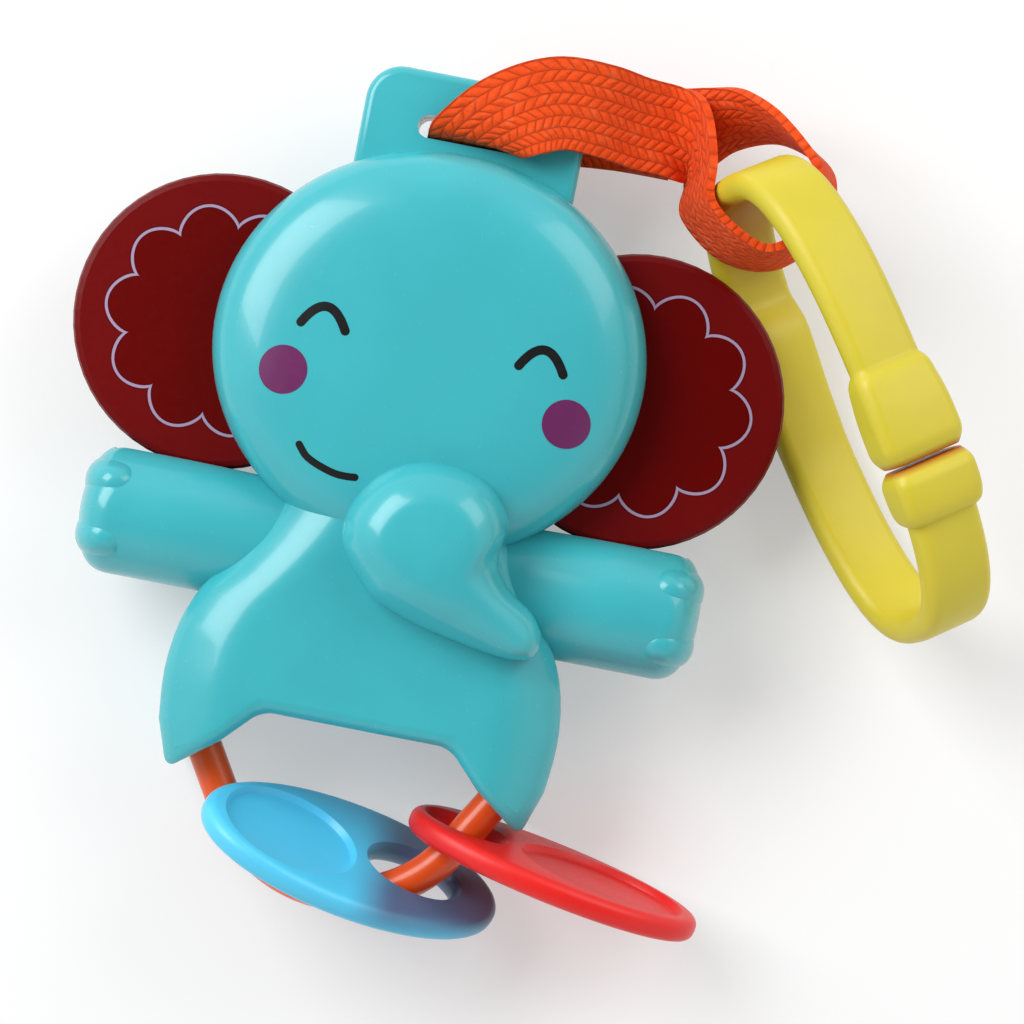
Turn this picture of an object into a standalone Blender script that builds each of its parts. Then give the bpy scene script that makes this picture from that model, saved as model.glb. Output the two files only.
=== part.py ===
"""Rattle teether shaped like an elephant, lying on its flat back.

+Z points out of the face, +Y to the strap tab, +X to the link. The origin is on the flat back,
behind the middle of the head. Lengths are in metres.
"""

import math

import bmesh
import bpy
from mathutils import Matrix, Vector

# Clearances
GAP = 0.0003
RUNNING_GAP = 0.0005
OVERRUN = 0.006

# Facets of round forms
POST_SIDES = 18
BORE_SIDES = 16
BALL_SIDES = 12
BALL_ROWS = 8
EDGE_STEPS = 2
CORNER_STEPS = 3
ROUND_END_STEPS = 3

# Shells
PART_HEIGHT = 0.015
WALL = 0.0022
HEAD_OVERLAP = 0.0010
BODY_OVERLAP = 0.0015
TAB_OVERLAP = 0.0020
BOSS_OVERLAP = 0.0025
HEAD_HALF_X = 0.0334
HEAD_HALF_Y = 0.0311
HEAD_FACE_HEIGHT = 0.0300
HEAD_BACK_DIP = 0.0005
BODY_BACK_DIP = 0.0008
HEAD_PROFILE_POWER = 4.2
HEAD_PROFILE_STEPS = 7
HEAD_SIDES = 44
BODY_FACE_HEIGHT = 0.0265
BODY_EDGE_RADIUS = 0.0035
BODY_TOP_Y = -0.0200
BODY_TOP_HALF = 0.0235
BODY_WAIST_Y = -0.0430
BODY_WAIST_HALF = 0.0300
BODY_HIP_Y = -0.0540
BODY_HIP_HALF = 0.0312
LEG_SIDE_Y = -0.0625
LEG_SIDE_HALF = 0.0300
LEG_TIP_Y = -0.0698
LEG_TIP_HALF = 0.0275
BODY_CORNER = 0.0016
BODY_CORNER_ANGLE = math.radians(25)
ARCH_Y = -0.0583
ARCH_HALF = 0.0145

# Arms
ARM_Y = -0.0325
ARM_RADIUS = 0.0100
ARM_ROOT_X = 0.0180
ARM_END_X = 0.0483
ARM_END_ROUND = 0.0045
ARM_SIDES = 20
TOE_RADIUS = 0.0041
TOE_PITCH = 0.0076
TOE_RISE = 0.0009
TOE_TALL_SHARE = 2.4
TOE_SIDES = 16
TOE_ROWS = 10

# Strap tab
TAB_HALF = 0.0172
TAB_ROOT_Y = 0.0240
TAB_TOP_Y = 0.0428
TAB_CORNER = 0.0055
TAB_BACK_HEIGHT = 0.0100
TAB_FACE_HEIGHT = 0.0190
TAB_EDGE_RADIUS = 0.0014
TAB_CORNER_STEPS = 6
SLOT_Y = 0.0343
SLOT_HALF = 0.0085
SLOT_HEIGHT = 0.0036
SLOT_STEPS = 6

# Ears
EAR_X = 0.0326
EAR_Y = -0.0010
EAR_RADIUS = 0.0228
EAR_THICKNESS = 0.0050
EAR_RIM_ROUND = 0.0012
EAR_SWING = math.radians(8)
EAR_SIDES = 56
EAR_PIVOT_X = 0.0145
EAR_TOOTH_COUNT = 5
EAR_TOOTH_RADIUS = 0.0100
EAR_TOOTH_DEPTH = 0.0006
EAR_TOOTH_STEPS = 4
EAR_TAIL_ROOT = 0.0060
EAR_BORE_SIDES = 32
EAR_SWEEP_STEPS = 20

# Click spring between the ears
SPRING_THICKNESS = 0.0008
SPRING_HEIGHT = 0.0040
SPRING_HALF = 0.0024
SPRING_FREE_Y = 0.0050
SPRING_ROOT_Y = -0.0090
SPRING_BUMP_RADIUS = 0.0005
SPRING_PEG_RADIUS = 0.0013
SPRING_LEDGE_SIDES = 20
SPRING_BEND_STEPS = 12

# Screws and their bosses
SCREW_SHANK_RADIUS = 0.0011
SCREW_HEAD_RADIUS = 0.0024
SCREW_HEAD_HEIGHT = 0.0016
SCREW_SEAT_HEIGHT = 0.0060
SCREW_TIP_HEIGHT = 0.0212
SCREW_DRIVE_RADIUS = 0.0011
SCREW_DRIVE_DEPTH = 0.0009
SCREW_HEAD_SIDES = 20
SCREW_SHANK_SIDES = 14
SCREW_DRIVE_SIDES = 4
BOSS_RADIUS = 0.0033
SINK_BOSS_RADIUS = 0.0042
SINK_BOSS_RISE = 0.0016
TOP_SCREW_Y = 0.0205
LEG_SCREW_X = 0.0235
LEG_SCREW_Y = -0.0510
HEAD_SCREWS = 3

# Trunk
TRUNK_X = 0.0044
TRUNK_Y = -0.0287
TRUNK_RADIUS = 0.0126
TRUNK_MIDDLE_HEIGHT = 0.0270
TRUNK_HALF_HEIGHT = 0.0100
TRUNK_TAIL_X = 0.0225
TRUNK_TAIL_Y = -0.0408
TRUNK_TAIL_RADIUS = 0.0029
TRUNK_PEG_RADIUS = 0.0025
TRUNK_SIDES = 36
TRUNK_ROWS = 18
TRUNK_STEPS = 10
TRUNK_TIP_STEPS = 4
TRUNK_TAIL_SIDES = 24
TRUNK_NECK_RADIUS = 0.0104
TRUNK_TAPER = 0.8
TRUNK_DROOP = 0.0014
TRUNK_EDGE_HEIGHT = 0.0160
TRUNK_PEG_HEIGHT = 0.0200

# Rattle cup in the belly
CUP_Y = -0.0445
CUP_RADIUS = 0.0098
CUP_WALL = 0.0012
CUP_SIDES = 40
LID_THICKNESS = 0.0012
LID_SKIRT = 0.0015
LID_SKIRT_WALL = 0.0008
BEAD_RADIUS = 0.0021
BEAD_COUNT = 6
BEAD_RING_RADIUS = 0.0050

# Teether bar
BAR_RADIUS = 0.00275
BAR_LEG_X = 0.0226
BAR_LEG_Y = -0.0660
BAR_SLOPE = math.radians(31)
BAR_BOTTOM_Y = -0.0843
BAR_INNER_LENGTH = 0.0065
BAR_COLLAR_RADIUS = 0.0036
BAR_COLLAR_LENGTH = 0.0020
BAR_ARC_STEPS = 18
BAR_ROUND_STEPS = 3
BAR_COLLAR_SIDES = 24

# Leaf teethers
LEAF_RIM_THICKNESS = 0.0038
LEAF_RIM_BAND = 0.0034
LEAF_WEB_THICKNESS = 0.0016
LEAF_ROUND = 0.0012
LEAF_EYE_ROUND = 0.0010
LEAF_VEIN_WIDTH = 0.0012
LEAF_VEIN_RISE = 0.0006
LEAF_SIDES = 36
LEAF_INNER_SIDES = 32
LEAF_VEIN_TURN = math.radians(55)
BLUE_LENGTH = 0.0505
BLUE_WIDTH = 0.0261
BLUE_EYE_AT = 0.0150
BLUE_EYE_LENGTH = 0.0146
BLUE_EYE_WIDTH = 0.0102
BLUE_BAR_X = 0.0122
BLUE_HEADING = math.radians(167.5)
BLUE_RISE = math.radians(22.3)
BLUE_LEAN = math.radians(153.2)
BLUE_DROP = 0.0015
RED_LENGTH = 0.0475
RED_WIDTH = 0.0275
RED_EYE_AT = 0.0087
RED_EYE_LENGTH = 0.0122
RED_EYE_WIDTH = 0.0092
RED_BAR_X = 0.0190
RED_HEADING = math.radians(-11)
RED_RISE = 0.0
RED_LEAN = math.radians(8)
RED_DROP = 0.0010

# Link
LINK_LENGTH = 0.0765
LINK_WIDTH = 0.0385
LINK_BAND = 0.0115
LINK_THICKNESS = 0.0042
LINK_ROUND = 0.0014
LINK_CROWN = 0.0004
LINK_KNUCKLE_RISE = 0.0017
LINK_KNUCKLE_SPREAD = 0.0012
LINK_KNUCKLE_LENGTH = 0.0115
LINK_KNUCKLE_FALL = 2.2
LINK_KNUCKLE_ROUND = 0.0026
LINK_KNUCKLE_END_SHARE = 0.35
LINK_SLIT = 0.0008
LINK_SLIT_ALONG = 0.0130
LINK_TOP_X = 0.04258
LINK_TOP_Y = 0.03702
LINK_HEADING = math.radians(-56.3)
LINK_LEAN = math.radians(20)
LINK_STEPS = 72
LINK_STEPS_NEAR_SLIT_SHARE = 0.6
LINK_CURVE_SHARE = 0.76

# Strap, with its route as places chosen by hand along its middle. Each has the way that the width
# lies and the share of the width that is left where the webbing bunches
STRAP_WIDTH = 0.0140
STRAP_THICKNESS = 0.0014
STRAP_SUBSTEPS = 3
STRAP_ROW_SHARES = (-0.5, -0.2, 0.2, 0.5)
STRAP_ROUTE = [
    ((0.0310, 0.0413, 0.0086), (0, 1, 0), 1.0),
    ((0.0220, 0.0412, 0.0082), (0, 1, 0), 1.0),
    ((0.0130, 0.0402, 0.0076), (-0.25, 0.97, 0), 1.0),
    ((0.0066, 0.0374, 0.0059), (-0.7, 0.7, 0), 1.0),
    ((0.0018, 0.0356, 0.0070), (-0.97, 0.25, 0), 1.0),
    ((0.0004, 0.0349, 0.0110), (-1, 0, 0), 1.0),
    ((0.0004, 0.0349, 0.0186), (-1, 0, 0), 1.0),
    ((0.0014, 0.0355, 0.0218), (-0.97, 0.25, 0), 1.0),
    ((0.0060, 0.0380, 0.0240), (-0.7, 0.7, 0), 1.0),
    ((0.0122, 0.0412, 0.0222), (-0.25, 0.97, 0), 1.0),
    ((0.0190, 0.0417, 0.0194), (0, 1, 0), 1.0),
    ((0.0250, 0.0414, 0.0146), (0, 1, 0), 1.0),
    ((0.0305, 0.0413, 0.0121), (0, 1, 0), 1.0),
    ((0.0340, 0.0400, 0.0132), (0.05, 0.8, 0.6), 1.0),
    ((0.0356, 0.0355, 0.0150), (0.2, 0.3, 0.93), 0.95),
    ((0.0362, 0.0298, 0.0166), (0.25, 0.2, 0.94), 0.88),
    ((0.0421, 0.0248, 0.0192), (0.1, 0.3, 0.95), 0.82),
    ((0.0488, 0.0246, 0.0198), (-0.15, 0.15, 0.98), 0.82),
    ((0.0541, 0.0300, 0.0206), (-0.2, 0, 0.98), 0.84),
    ((0.0544, 0.0384, 0.0194), (-0.2, -0.1, 0.97), 0.9),
    ((0.0473, 0.0440, 0.0170), (-0.1, 0.1, 0.98), 0.95),
    ((0.0405, 0.0448, 0.0136), (0, 0.5, 0.87), 1.0),
    ((0.0355, 0.0427, 0.0112), (0, 0.9, 0.43), 1.0),
    ((0.0310, 0.0414, 0.0103), (0, 1, 0), 1.0),
    ((0.0235, 0.0413, 0.0101), (0, 1, 0), 1.0),
]


def material(name, colour, roughness, metallic=0.0):
    made = bpy.data.materials.new(name)
    made.use_nodes = True
    shader = made.node_tree.nodes["Principled BSDF"]
    shader.inputs["Base Color"].default_value = (*colour, 1.0)
    shader.inputs["Roughness"].default_value = roughness
    shader.inputs["Metallic"].default_value = metallic
    made.diffuse_color = (*colour, 1.0)
    return made


def new_object(name, work, collection):
    bmesh.ops.recalc_face_normals(work, faces=work.faces)
    mesh = bpy.data.meshes.new(name)
    work.to_mesh(mesh)
    work.free()
    obj = bpy.data.objects.new(name, mesh)
    collection.objects.link(obj)
    return obj


def cutter_object(name, work):
    obj = new_object(name, work, CUTTERS)
    obj.hide_render = True
    obj.display_type = "WIRE"
    return obj


def boolean(obj, other, operation):
    modifier = obj.modifiers.new(operation.title() + " " + other.name, "BOOLEAN")
    modifier.operation = operation
    modifier.solver = "EXACT"
    modifier.object = other


def bake(obj):
    """Replaces the object's mesh with the evaluated one, so that it can be cut again as one mesh."""
    graph = bpy.context.evaluated_depsgraph_get()
    bpy.context.view_layer.update()
    mesh = bpy.data.meshes.new_from_object(obj.evaluated_get(graph))
    obj.modifiers.clear()
    obj.data = mesh


def smooth(obj):
    obj.data.shade_smooth()
    obj.data.set_sharp_from_angle(angle=math.radians(35))


def finish(obj, paint):
    obj.data.materials.clear()
    obj.data.materials.append(paint)
    smooth(obj)


def round_prism(outline, bottom, top, bottom_round, top_round, steps):
    """A prism on a flat outline, whose edges are rounded by insets that follow a quarter circle."""
    work = bmesh.new()
    ring = [work.verts.new((x, y, bottom + bottom_round)) for x, y in outline]
    base = work.faces.new(ring)
    base.normal_update()
    if base.normal.z > 0:
        base.normal_flip()
    side = bmesh.ops.extrude_face_region(work, geom=[base])
    moved = [item for item in side["geom"] if isinstance(item, bmesh.types.BMVert)]
    bmesh.ops.translate(work, verts=moved, vec=(0, 0, top - top_round - bottom - bottom_round))
    bmesh.ops.recalc_face_normals(work, faces=work.faces)
    for up, radius in ((True, top_round), (False, bottom_round)):
        if not radius:
            continue
        cap = max(work.faces, key=lambda face: face.normal.z if up else -face.normal.z)
        for step in range(steps):
            here = math.pi / 2 * step / steps
            there = math.pi / 2 * (step + 1) / steps
            inward = radius * (math.cos(here) - math.cos(there))
            rise = radius * (math.sin(there) - math.sin(here))
            bmesh.ops.inset_region(work, faces=[cap], thickness=inward, depth=0, use_even_offset=True)
            bmesh.ops.translate(work, verts=cap.verts, vec=(0, 0, rise if up else -rise))
    return work


def cylinder(radius, low, high, x, y, sides=POST_SIDES):
    work = bmesh.new()
    turn = Matrix.Rotation(math.pi / sides, 4, "Z")
    bmesh.ops.create_cone(
        work,
        cap_ends=True,
        segments=sides,
        radius1=radius,
        radius2=radius,
        depth=high - low,
        matrix=Matrix.Translation((x, y, (low + high) / 2)) @ turn,
    )
    return work


def arc(x, y, radius, first, last, steps):
    """Points on an arc, from one angle to another in degrees."""
    points = []
    for step in range(steps + 1):
        angle = math.radians(first + (last - first) * step / steps)
        points.append((x + radius * math.cos(angle), y + radius * math.sin(angle)))
    return points


def fillet(outline, radii, steps):
    """Rounds the corners of an outline, each by its own radius."""
    made = []
    count = len(outline)
    for index, radius in enumerate(radii):
        corner = Vector(outline[index])
        before = (Vector(outline[index - 1]) - corner).normalized()
        after = (Vector(outline[(index + 1) % count]) - corner).normalized()
        if not radius:
            made.append(tuple(corner))
            continue
        half = before.angle(after) / 2
        centre = corner + (before + after).normalized() * radius / math.sin(half)
        start = corner + before * radius / math.tan(half) - centre
        end = corner + after * radius / math.tan(half) - centre
        for step in range(steps + 1):
            share = step / steps
            made.append(tuple(centre + start.slerp(end, share) * radius))
    return made


def head_form(inset, front):
    """One half of the pillow-shaped head, as a turned superellipse drawn out to the head's width."""
    height = HEAD_FACE_HEIGHT - PART_HEIGHT if front else PART_HEIGHT + HEAD_BACK_DIP
    height -= inset
    power = 2 / HEAD_PROFILE_POWER
    rings = []
    for step in range(-1, HEAD_PROFILE_STEPS):
        angle = max(math.pi / 2 * step / HEAD_PROFILE_STEPS, 0)
        reach = math.cos(angle) ** power
        rise = math.sin(angle) ** power * height if step >= 0 else -HEAD_OVERLAP
        z = PART_HEIGHT + rise if front else PART_HEIGHT - rise
        ring = []
        for side in range(HEAD_SIDES):
            turn = 2 * math.pi * side / HEAD_SIDES
            x = (HEAD_HALF_X - inset) * reach * math.cos(turn)
            y = (HEAD_HALF_Y - inset) * reach * math.sin(turn)
            ring.append((x, y, z))
        rings.append(ring)
    return ring_stack(rings)


def set_in(outline, inset):
    """A clockwise outline moved inwards by the same distance on every side."""
    count = len(outline)
    moved = []
    for index, point in enumerate(outline):
        here = Vector(point)
        before = (here - Vector(outline[index - 1])).normalized().orthogonal()
        after = (Vector(outline[(index + 1) % count]) - here).normalized().orthogonal()
        normal = (before + after).normalized()
        moved.append(tuple(here - normal * inset / normal.dot(before)))
    return moved


def body_outline():
    half = [
        (BODY_TOP_HALF, BODY_TOP_Y),
        (BODY_WAIST_HALF, BODY_WAIST_Y),
        (BODY_HIP_HALF, BODY_HIP_Y),
        (LEG_SIDE_HALF, LEG_SIDE_Y),
        (LEG_TIP_HALF, LEG_TIP_Y),
        (ARCH_HALF, ARCH_Y),
    ]
    return half + [(-x, y) for x, y in reversed(half)]


def belly_outline():
    """The hollow part of the body, which ends above the arch: the legs are solid round the bar."""
    half = [(BODY_TOP_HALF, BODY_TOP_Y), (BODY_WAIST_HALF, BODY_WAIST_Y), (BODY_HIP_HALF, ARCH_Y)]
    return half + [(-x, y) for x, y in reversed(half)]


def body_form(inset, front, outline):
    """One half of the belly and legs."""
    if inset:
        outline = set_in(outline, inset)
    edge = max(BODY_EDGE_RADIUS - inset, GAP)
    if front:
        low = PART_HEIGHT - BODY_OVERLAP
        work = round_prism(outline, low, BODY_FACE_HEIGHT - inset, 0, edge, EDGE_STEPS)
    else:
        low = inset - BODY_BACK_DIP
        work = round_prism(outline, low, PART_HEIGHT + BODY_OVERLAP, edge, 0, EDGE_STEPS)
    if not inset:
        round_corners(work, BODY_CORNER)
    return work


def round_corners(work, radius):
    """Rounds the upright corners of a prism, with their run over its rounded edge."""
    corners = []
    for edge in work.edges:
        upright = abs(edge.verts[0].co.z - edge.verts[1].co.z) > GAP
        if upright and edge.calc_face_angle() > BODY_CORNER_ANGLE:
            corners.append(edge)
    bmesh.ops.bevel(
        work,
        geom=corners,
        offset=radius,
        offset_type="OFFSET",
        segments=CORNER_STEPS,
        profile=0.5,
        affect="EDGES",
        material=-1,
    )


def arm_form(inset, side):
    """A whole arm: a round bar along X with a rounded end."""
    radius = ARM_RADIUS - inset
    end = ARM_END_X - inset
    edge = max(ARM_END_ROUND - inset, GAP)
    profile = [(ARM_ROOT_X, radius)]
    for step in range(ROUND_END_STEPS + 1):
        angle = math.pi / 2 * step / ROUND_END_STEPS
        profile.append((end - edge + edge * math.sin(angle), radius - edge + edge * math.cos(angle)))
    rings = []
    for along, reach in profile:
        ring = []
        for index in range(ARM_SIDES):
            turn = 2 * math.pi * index / ARM_SIDES
            y = ARM_Y + reach * math.cos(turn)
            ring.append((side * along, y, PART_HEIGHT + reach * math.sin(turn)))
        rings.append(ring)
    return ring_stack(rings)


def toe_form(side, toe):
    """One of the two rounded toes at the end of an arm, tall along Z."""
    work = bmesh.new()
    bmesh.ops.create_uvsphere(work, u_segments=TOE_SIDES, v_segments=TOE_ROWS, radius=TOE_RADIUS)
    bmesh.ops.scale(work, verts=work.verts, vec=(1, 1, TOE_TALL_SHARE))
    place = (side * (ARM_END_X + TOE_RISE - TOE_RADIUS), ARM_Y + toe * TOE_PITCH / 2, PART_HEIGHT)
    bmesh.ops.translate(work, verts=work.verts, vec=place)
    return work


def slab(low, high, name):
    """A block wider than the toy, between two heights."""
    width = 2 * (ARM_END_X - LEG_TIP_Y)
    work = bmesh.new()
    bmesh.ops.create_cube(work, size=1)
    bmesh.ops.scale(work, verts=work.verts, vec=(width, width, high - low))
    bmesh.ops.translate(work, verts=work.verts, vec=(0, 0, (low + high) / 2))
    return cutter_object(name, work)


def stadium(radius, half_straight, x, y, steps):
    """An outline of two half circles joined by straight sides along Y."""
    upper = arc(x, y + half_straight, radius, 0, 180, steps)
    lower = arc(x, y - half_straight, radius, 180, 360, steps)
    return upper + lower


def bar_route():
    """The bar's middle line from one leg to the other: straight flanks and a round bottom."""
    apex_y = BAR_LEG_Y - BAR_LEG_X / math.tan(BAR_SLOPE)
    radius = (BAR_BOTTOM_Y - apex_y) / (1 / math.sin(BAR_SLOPE) - 1)
    centre_y = apex_y + radius / math.sin(BAR_SLOPE)
    start_angle = 180 + math.degrees(BAR_SLOPE)
    points = arc(0, centre_y, radius, start_angle, 540 - start_angle, BAR_ARC_STEPS)
    along = Vector((math.sin(BAR_SLOPE), -math.cos(BAR_SLOPE)))
    top = Vector((-BAR_LEG_X, BAR_LEG_Y)) - along * BAR_INNER_LENGTH
    left = [tuple(top), (-BAR_LEG_X, BAR_LEG_Y)]
    right = [(-x, y) for x, y in reversed(left)]
    return left + points + right, radius, centre_y


def bar_point(x):
    """The bar's middle at one place across."""
    points, radius, centre_y = bar_route()
    if abs(x) >= radius * math.cos(BAR_SLOPE):
        y = BAR_LEG_Y - (BAR_LEG_X - abs(x)) / math.tan(BAR_SLOPE)
    else:
        y = centre_y - math.sqrt(radius**2 - x**2)
    return Vector((x, y, PART_HEIGHT))


def tube_from(points, radius, name):
    """A round tube along a route, as a mesh."""
    curve = bpy.data.curves.new(name, "CURVE")
    curve.dimensions = "3D"
    curve.bevel_depth = radius
    curve.bevel_resolution = BAR_ROUND_STEPS
    curve.use_fill_caps = True
    spline = curve.splines.new("POLY")
    spline.points.add(len(points) - 1)
    for point, place in zip(spline.points, points):
        point.co = (*place, 1.0)
    guide = bpy.data.objects.new(name + "_guide", curve)
    CUTTERS.objects.link(guide)
    bpy.context.view_layer.update()
    graph = bpy.context.evaluated_depsgraph_get()
    mesh = bpy.data.meshes.new_from_object(guide.evaluated_get(graph))
    bpy.data.objects.remove(guide)
    work = bmesh.new()
    work.from_mesh(mesh)
    bmesh.ops.remove_doubles(work, verts=work.verts, dist=GAP / 10)
    return work


def screw_places():
    return [
        (-EAR_PIVOT_X, EAR_Y),
        (EAR_PIVOT_X, EAR_Y),
        (0.0, TOP_SCREW_Y),
        (-LEG_SCREW_X, LEG_SCREW_Y),
        (LEG_SCREW_X, LEG_SCREW_Y),
    ]


def ear_low():
    return PART_HEIGHT - EAR_THICKNESS / 2


def ear_high():
    return PART_HEIGHT + EAR_THICKNESS / 2


def ear_sweep_cutter(side, name):
    """The space that an ear sweeps, with a running gap all round."""
    lift = (EAR_X - EAR_PIVOT_X) * math.sin(EAR_SWING)
    radius = EAR_RADIUS + RUNNING_GAP
    outline = stadium(radius, lift, side * EAR_X, EAR_Y, EAR_SWEEP_STEPS)
    low = ear_low() - RUNNING_GAP
    high = ear_high() + RUNNING_GAP
    return cutter_object(name, round_prism(outline, low, high, 0, 0, 1))


def tab_form(low, high):
    outline = [
        (-TAB_HALF, TAB_ROOT_Y),
        (TAB_HALF, TAB_ROOT_Y),
        (TAB_HALF, TAB_TOP_Y),
        (-TAB_HALF, TAB_TOP_Y),
    ]
    rounded = fillet(outline, [0, 0, TAB_CORNER, TAB_CORNER], TAB_CORNER_STEPS)
    top_round = TAB_EDGE_RADIUS if high == TAB_FACE_HEIGHT else 0
    bottom_round = TAB_EDGE_RADIUS if low == TAB_BACK_HEIGHT else 0
    return round_prism(rounded, low, high, bottom_round, top_round, EDGE_STEPS)


def slot_cutter():
    half = SLOT_HEIGHT / 2
    outline = arc(SLOT_HALF - half, SLOT_Y, half, -90, 90, SLOT_STEPS)
    outline += arc(half - SLOT_HALF, SLOT_Y, half, 90, 270, SLOT_STEPS)
    low = TAB_BACK_HEIGHT - OVERRUN
    return cutter_object("slot_cut", round_prism(outline, low, TAB_FACE_HEIGHT + OVERRUN, 0, 0, 1))


def bar_cutter():
    points, radius, centre_y = bar_route()
    clear = BAR_RADIUS + GAP
    route = [(x, y, PART_HEIGHT) for x, y in points]
    return cutter_object("bar_cut", tube_from(route, clear, "bar_cut"))


def collar_places():
    along = Vector((math.sin(BAR_SLOPE), -math.cos(BAR_SLOPE), 0))
    for side in (-1, 1):
        direction = Vector((along.x * -side, along.y, 0))
        top = Vector((side * BAR_LEG_X, BAR_LEG_Y, PART_HEIGHT)) - direction * BAR_INNER_LENGTH
        yield side, top, direction


def collar_form(top, direction, radius, length, shift):
    work = bmesh.new()
    turn = direction.to_track_quat("Z", "Y").to_matrix().to_4x4()
    place = Matrix.Translation(top + direction * (length / 2 + shift)) @ turn
    bmesh.ops.create_cone(
        work,
        cap_ends=True,
        segments=BAR_COLLAR_SIDES,
        radius1=radius,
        radius2=radius,
        depth=length,
        matrix=place,
    )
    return work


def join_outer_forms(obj, label, front):
    boolean(obj, cutter_object(label + "_body_out", body_form(0, front, body_outline())), "UNION")
    for side in (-1, 1):
        name = f"{label}_arm_{side}"
        boolean(obj, cutter_object(name + "_out", arm_form(0, side)), "UNION")
        for toe in (-1, 1):
            boolean(obj, cutter_object(f"{name}_toe_{toe}", toe_form(side, toe)), "UNION")
    low = PART_HEIGHT - TAB_OVERLAP if front else TAB_BACK_HEIGHT
    high = TAB_FACE_HEIGHT if front else PART_HEIGHT + TAB_OVERLAP
    boolean(obj, cutter_object(label + "_tab_out", tab_form(low, high)), "UNION")
    bake(obj)


def hollow_out(obj, label, front):
    """Cuts away the outer forms set in by the wall. The legs stay solid round the bar."""
    hollow = cutter_object(label + "_hollow", head_form(WALL, front))
    boolean(hollow, cutter_object(label + "_body_in", body_form(WALL, front, belly_outline())), "UNION")
    for side in (-1, 1):
        boolean(hollow, cutter_object(f"{label}_arm_{side}_in", arm_form(WALL, side)), "UNION")
    bake(hollow)
    boolean(obj, hollow, "DIFFERENCE")
    bake(obj)


def add_bosses(obj, label, front):
    for index, (x, y) in enumerate(screw_places()):
        low = PART_HEIGHT - BOSS_OVERLAP if front else WALL / 2
        high = face_inside(index) + WALL / 2 if front else PART_HEIGHT + BOSS_OVERLAP
        boss = cylinder(BOSS_RADIUS, low, high, x, y)
        boolean(obj, cutter_object(f"{label}_boss_{index}", boss), "UNION")
        if not front:
            foot = cylinder(SINK_BOSS_RADIUS, WALL / 2, SCREW_SEAT_HEIGHT + SINK_BOSS_RISE, x, y)
            boolean(obj, cutter_object(f"rear_boss_foot_{index}", foot), "UNION")
    if not front:
        peg_y = SPRING_ROOT_Y + SPRING_HALF
        peg_top = PART_HEIGHT + SPRING_HEIGHT / 2
        peg = cylinder(SPRING_PEG_RADIUS, WALL / 2, peg_top, 0, peg_y, BORE_SIDES)
        boolean(obj, cutter_object("spring_peg", peg), "UNION")
        ledge_top = PART_HEIGHT - SPRING_HEIGHT / 2 - GAP
        ledge = cylinder(SPRING_HALF, WALL / 2, ledge_top, 0, peg_y, SPRING_LEDGE_SIDES)
        boolean(obj, cutter_object("spring_ledge", ledge), "UNION")
    bake(obj)


def cut_bar_seats(obj, label):
    """Cuts the strap slot, and the bar's channels with a pocket for each of its collars."""
    boolean(obj, slot_cutter(), "DIFFERENCE")
    boolean(obj, bar_cutter(), "DIFFERENCE")
    for side, top, direction in collar_places():
        pocket = collar_form(top, direction, BAR_COLLAR_RADIUS + GAP, BAR_COLLAR_LENGTH + 2 * GAP, -GAP)
        boolean(obj, cutter_object(f"{label}_pocket_{side}", pocket), "DIFFERENCE")
    bake(obj)


def cut_ear_slots(obj, label):
    """Cuts the space that each ear sweeps, and leaves the boss that it turns on."""
    for side in (-1, 1):
        sweep = ear_sweep_cutter(side, f"{label}_ear_sweep_{side}")
        keep = cylinder(BOSS_RADIUS, WALL, face_inside(0), side * EAR_PIVOT_X, EAR_Y)
        boolean(sweep, cutter_object(f"{label}_pivot_keep_{side}", keep), "DIFFERENCE")
        bake(sweep)
        boolean(obj, sweep, "DIFFERENCE")


def cut_screw_holes(obj, label, front):
    for index, (x, y) in enumerate(screw_places()):
        low = PART_HEIGHT - OVERRUN if front else -OVERRUN
        high = SCREW_TIP_HEIGHT + GAP if front else PART_HEIGHT + OVERRUN
        bore = cylinder(SCREW_SHANK_RADIUS + GAP, low, high, x, y, BORE_SIDES)
        boolean(obj, cutter_object(f"{label}_bore_{index}", bore), "DIFFERENCE")
        if not front:
            sink = cylinder(SCREW_HEAD_RADIUS + RUNNING_GAP, -OVERRUN, SCREW_SEAT_HEIGHT, x, y)
            boolean(obj, cutter_object(f"rear_sink_{index}", sink), "DIFFERENCE")
    bake(obj)


def shell(front):
    """One moulded shell: outer forms joined, hollowed, given bosses and seats, and cut at the parting."""
    label = "front" if front else "rear"
    obj = new_object(label + "_shell", head_form(0, front), PARTS)
    join_outer_forms(obj, label, front)
    hollow_out(obj, label, front)
    add_bosses(obj, label, front)
    cut_bar_seats(obj, label)
    cut_ear_slots(obj, label)
    cut_screw_holes(obj, label, front)
    if front:
        peg = cylinder(TRUNK_PEG_RADIUS + GAP, PART_HEIGHT, HEAD_FACE_HEIGHT + OVERRUN, TRUNK_X, TRUNK_Y)
        boolean(obj, cutter_object("trunk_hole", peg), "DIFFERENCE")
        bake(obj)
    low = PART_HEIGHT + GAP / 2 if front else 0
    high = HEAD_FACE_HEIGHT + OVERRUN if front else PART_HEIGHT - GAP / 2
    boolean(obj, slab(low, high, label + "_half"), "INTERSECT")
    bake(obj)
    finish(obj, TEAL)


def face_inside(index):
    """The height of the front shell's inner face at a screw: the first three are in the head."""
    return (HEAD_FACE_HEIGHT if index < HEAD_SCREWS else BODY_FACE_HEIGHT) - WALL


def bead_places():
    floor = cup_floor() + GAP + BEAD_RADIUS
    for index in range(BEAD_COUNT):
        turn = 2 * math.pi * index / BEAD_COUNT
        x = BEAD_RING_RADIUS * math.cos(turn)
        yield x, CUP_Y + BEAD_RING_RADIUS * math.sin(turn), floor


def cup_base():
    return WALL - BODY_BACK_DIP + GAP


def cup_floor():
    return cup_base() + CUP_WALL


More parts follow.
